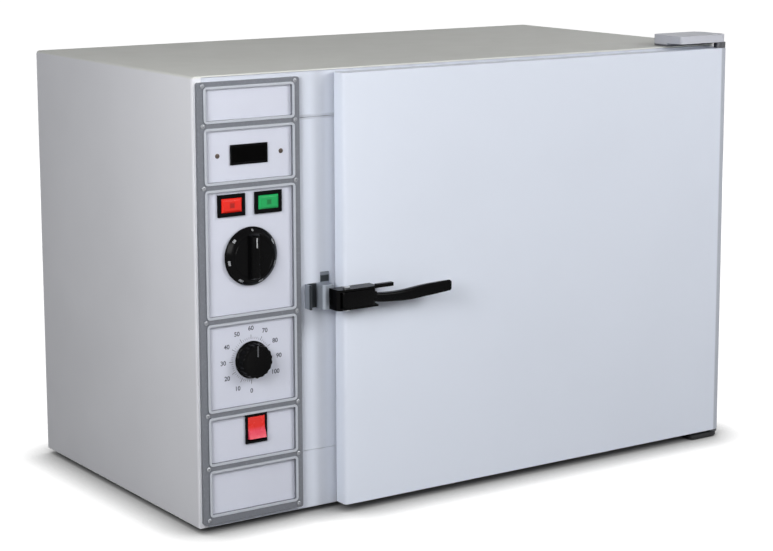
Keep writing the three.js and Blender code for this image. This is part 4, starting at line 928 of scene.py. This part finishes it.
def lettering(text, height, thickness):
    """Figures in millimetres about their middle, in the XY plane"""
    curve = bpy.data.curves.new("figures", "FONT")
    curve.body = text
    curve.size = height / FIGURE_SHARE * MM
    curve.extrude = thickness / 2 * MM
    curve.align_x = "CENTER"
    curve.offset = WEIGHT_SHARE * height * MM
    curve.resolution_u = FIGURE_CURVE_STEPS
    writing = bpy.data.objects.new("figures", curve)
    bpy.context.scene.collection.objects.link(writing)
    mesh = bpy.data.meshes.new_from_object(writing.evaluated_get(bpy.context.evaluated_depsgraph_get()))
    shape = bmesh.new()
    shape.from_mesh(mesh)
    bmesh.ops.translate(shape, verts=shape.verts, vec=(0, -height / 2 * MM, 0))
    bpy.data.objects.remove(writing)
    bpy.data.curves.remove(curve)
    bpy.data.meshes.remove(mesh)
    return shape


def screw_head(radius, height, slot_width):
    """A pan head with a cross recess, about the Z axis. Sizes in millimetres"""
    rings = []
    for share, rise in SCREW_PROFILE:
        turns = [2 * math.pi * i / SCREW_STEPS for i in range(SCREW_STEPS if share else 1)]
        reach = share * radius
        rings.append([
            Vector((reach * math.cos(turn), reach * math.sin(turn), rise * height)) * MM for turn in turns
        ])
    head = object_of("screw", skinned(rings, capped=(0,)))
    cutter = bmesh.new()
    half, reach = slot_width / 2 * MM, radius * RECESS_REACH * MM
    floor, top = height * RECESS_FLOOR * MM, height * RECESS_TOP * MM
    for x, y in ((reach, half), (half, reach)):
        merged(cutter, block((-x, -y, floor), (x, y, top)))
    cut = object_of("cross", cutter)
    recess = head.modifiers.new("recess", "BOOLEAN")
    recess.object = cut
    recess.operation = "DIFFERENCE"
    recess.solver = "EXACT"
    recess.use_self = True
    applied(head)
    mesh_shape(cut).free()
    return mesh_shape(head)


def screws(name, head, places, facing=FACING, material=None):
    """Copies of a screw head at places, each turned a little differently"""
    shape = bmesh.new()
    for i, place in enumerate(places):
        spin = Matrix.Rotation(math.radians(FIRST_TURN + NEXT_TURN * i), 4, "Z")
        merged(shape, head.copy(), Matrix.Translation(place) @ facing @ spin)
    finished_piece(name, shape, "cabinet", "bright_steel", sharp=SHARP_ON_SCREWS, material=material)


# Latch lever
def eased(points, share):
    """A value on a smooth curve through points"""
    last = len(points) - 1

    def slope(i):
        before, after = points[max(i - 1, 0)], points[min(i + 1, last)]
        return (after[1] - before[1]) / (after[0] - before[0])

    i = min(max(sum(point[0] <= share for point in points) - 1, 0), last - 1)
    (start, low), (stop, high) = points[i], points[i + 1]
    width = stop - start
    t = (share - start) / width
    return (
        (1 + 2 * t) * (1 - t) ** 2 * low + t * (1 - t) ** 2 * width * slope(i)
        + t * t * (3 - 2 * t) * high + t * t * (t - 1) * width * slope(i + 1)
    )


def rounded_section(x, near, far, low, high, radius):
    """A rounded rectangle across the X axis"""
    corners = [(far, high, 0), (near, high, 90), (near, low, 180), (far, low, 270)]
    ring = []
    for y, z, turn in corners:
        in_y = y - math.copysign(radius, y - (near + far) / 2)
        in_z = z - math.copysign(radius, z - (low + high) / 2)
        for i in range(ARM_CORNER_STEPS + 1):
            angle = math.radians(turn + 90 * i / ARM_CORNER_STEPS)
            ring.append((x, in_y + radius * math.cos(angle), in_z + radius * math.sin(angle)))
    return ring


def lever_head():
    """The model's lever up to its neck, with rounded edges"""
    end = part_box("latch_lever")[1].x - ARM_HEAD_END * MM
    shape = model_shape("latch_lever")
    bmesh.ops.bisect_plane(
        shape,
        geom=[*shape.verts, *shape.edges, *shape.faces],
        plane_co=(end, 0, 0),
        plane_no=(1, 0, 0),
        clear_outer=True,
    )
    bmesh.ops.holes_fill(shape, edges=[edge for edge in shape.edges if edge.is_boundary])
    head = object_of("head", shape)
    softened(head, ARM_HEAD_EDGE)
    return mesh_shape(head)


def lever_arm():
    """The swept arm, from inside the head to its rounded tip"""
    low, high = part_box("latch_lever")
    pin_height = node_middle("latch_pin").z
    body_share = ARM_TIP_START - ARM_START
    shares = [ARM_START + body_share * i / ARM_STEPS for i in range(ARM_STEPS + 1)]
    rings = []
    for share in [*shares, *ARM_TIP_SHARES]:
        inset = max(0, share - ARM_TIP_START) / (1 - ARM_TIP_START) * ARM_TIP_INSET
        rings.append(rounded_section(
            high.x - ARM_LENGTH * (1 - share) * MM,
            low.y + (ARM_NEAR - ARM_NEAR_SWEEP * share ** 2 + inset) * MM,
            low.y + (ARM_FAR - ARM_FAR_SWEEP * share ** 2 - inset) * MM,
            pin_height + (eased(ARM_UNDERSIDE, share) + inset) * MM,
            pin_height + (eased(ARM_TOPSIDE, share) - inset) * MM,
            (ARM_CORNER - inset) * MM,
        ))
    return skinned(rings, capped=(0, -1))


def add_lever():
    shape = lever_arm()
    merged(shape, lever_head())
    finished_piece("latch_lever_moulded", shape, "latch_lever", "black_plastic", ["latch_lever"])


# Control panel
def grip_outline(half, radius):
    """A bar cut to length by a circle, in millimetres"""
    reach = math.asin(half / radius)
    outline = []
    for side in (1, -1):
        for i in range(GRIP_STEPS + 1):
            angle = reach * (1 - 2 * i / GRIP_STEPS)
            outline.append((side * radius * math.sin(angle), side * radius * math.cos(angle)))
    return outline


def turned_knob(node, out, profile, steps, flutes=0):
    """A knob with its stem, in the place of a model node, and the middle of its foot"""
    low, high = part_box(node)
    middle = (low + high) / 2
    middle.y = low.y + out * MM
    rear = (middle.y - high.y) / MM
    stem = [(0, rear), (KNOB_STEM, rear), (KNOB_STEM, 0)]
    return turned([*stem, *profile], middle, steps, flutes), middle


def add_thermostat():
    shape, middle = turned_knob("thermostat_knob", THERMOSTAT_OUT, THERMOSTAT_PROFILE, THERMOSTAT_STEPS)
    rings = []
    for share, inset in GRIP_LAYERS:
        out = THERMOSTAT_FACE + (THERMOSTAT_OUT - THERMOSTAT_FACE) * share
        half = GRIP_HALF - GRIP_HALF_TAPER * share - inset
        reach = GRIP_REACH - GRIP_REACH_TAPER * share - inset
        rings.append([point(middle, x, out, z) for x, z in grip_outline(half, reach)])
    merged(shape, skinned(rings, capped=(0, -1)))
    finished_piece("thermostat_knob_turned", shape, "thermostat_knob", "black_plastic", ["thermostat_knob"])
    marks = bmesh.new()
    slope = math.atan2(SKIRT_RISE, SKIRT_RUN)
    for i in range(HEAT_FIGURES):
        figures = lettering(str(HEAT_STEP * i), HEAT_FIGURE_HEIGHT, HEAT_FIGURE_DEPTH)
        degrees = -HEAT_TURN * i
        place = around(middle, HEAT_FIGURE_RADIUS, degrees, HEAT_FIGURE_OUT)
        tilt = Matrix.Rotation(math.radians(degrees), 4, "Y") @ FACING @ Matrix.Rotation(-slope, 4, "X")
        merged(marks, figures, Matrix.Translation(place) @ tilt)
    merged(marks, block(*(point(middle, *corner) for corner in HEAT_POINTER)))
    white = printed("white_print", colour(188, 190, 194))
    finished_piece("thermostat_figures", marks, "thermostat_knob", "black_plastic", material=white)


def add_timer():
    shape, middle = turned_knob("timer_knob", TIMER_OUT, TIMER_PROFILE, TIMER_STEPS, TIMER_FLUTES)
    finished_piece(
        "timer_knob_turned", shape, "timer_knob", "black_plastic", ["timer_knob"], sharp=SHARP_ON_FLUTES
    )
    pointer = block(*(point(middle, *corner) for corner in TIME_POINTER))
    grey = printed("grey_print", colour(88, 90, 94))
    finished_piece(
        "timer_pointer", pointer, "timer_knob", "black_plastic", edge=TIME_POINTER_EDGE, material=grey
    )


def add_timer_scale():
    dial = node_middle("timer_knob")
    dial.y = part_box("timer_plate")[0].y
    scale = bmesh.new()
    for i in range(TIME_FIGURES):
        figures = lettering(str(TIME_STEP * i), TIME_FIGURE_HEIGHT, TIME_FIGURE_DEPTH)
        place = around(dial, TIME_FIGURE_RADIUS, TIME_START + TIME_TURN * i, TIME_FIGURE_OUT)
        merged(scale, figures, Matrix.Translation(place) @ FACING)
    for i in range(TICKS):
        length, width = SHORT_TICK if i % TICKS_TO_LONG else LONG_TICK
        tick = block(
            (-width / 2 * MM, -TICK_DEPTH * MM, TICK_RADIUS * MM),
            (width / 2 * MM, 0, (TICK_RADIUS + length) * MM),
        )
        turn = Matrix.Rotation(math.radians(TIME_START + TICK_TURN * i), 4, "Y")
        merged(scale, tick, Matrix.Translation(dial) @ turn)
    dark = printed("dark_print", colour(78, 80, 92))
    finished_piece("timer_scale", scale, "cabinet", "plate_paint", material=dark)


def add_trim_screws(head):
    """Screws at the ends of each bar of the trim frame"""
    low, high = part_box("control_frame")
    plates = [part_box(f"{name}_plate") for name in PANEL_PLATES]
    bars = [(lower[1].z + upper[0].z) / 2 for lower, upper in zip(plates, plates[1:])]
    places = [
        Vector((x, low.y + CHANNEL_DEPTH * MM, z))
        for x in (low.x + TRIM_SIDE * MM, high.x - TRIM_SIDE * MM)
        for z in (low.z + TRIM_BOTTOM * MM, *bars, high.z - TRIM_TOP * MM)
    ]
    steel = upright_brushed("screw_steel", (0.3, 0.31, 0.33, 1), 0.32)
    screws("trim_screws", head, places, material=steel)


def add_display_screws():
    display = node_middle("display_bezel")
    display.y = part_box("timer_plate")[0].y
    places = [point(display, across, 0, 0) for across in DISPLAY_SCREWS]
    steel = upright_brushed("warm_steel", (0.1, 0.08, 0.07, 1), 0.35)
    screws("display_screws", screw_head(*PLATE_SCREW), places, material=steel)


def add_rear_screws(head):
    low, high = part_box("rear_cover")
    places = [
        Vector((x, high.y, z))
        for x in (low.x + REAR_SIDE * MM, 0, high.x - REAR_SIDE * MM)
        for z in (low.z + REAR_END * MM, high.z - REAR_END * MM)
    ]
    screws("rear_screws", head, places, Matrix.Rotation(math.pi, 4, "Z") @ FACING)


def finish_bare_nodes():
    """Materials of the model nodes that have no dressed copy"""
    # Hinge pins and bushes are painted dark: painted shade of the gaps at the hinges
    shaded_steel = upright_brushed("shaded_steel", (0.08, 0.082, 0.088, 1), 0.4)
    for node, solid in frame["nodes"].items():
        if node not in DRESSED:
            hinge_part = node.endswith(("hinge_pin", "hinge_bush"))
            solid.data.materials.clear()
            solid.data.materials.append(shaded_steel if hinge_part else materials[slot_of[node]])


materials = slot_materials()
own_materials = node_materials()

add_lever()
add_thermostat()
add_timer()
add_timer_scale()
trim_screw = screw_head(*TRIM_SCREW)
add_trim_screws(trim_screw)
add_display_screws()
add_rear_screws(trim_screw)
for node, edge in DRESSED.items():
    dress(node, edge)
finish_bare_nodes()

add_camera()
add_world()
add_floor()
for name, settings in SOFTBOXES.items():
    add_softbox(name, *settings)
bpy.context.scene.view_settings.view_transform = "Standard"
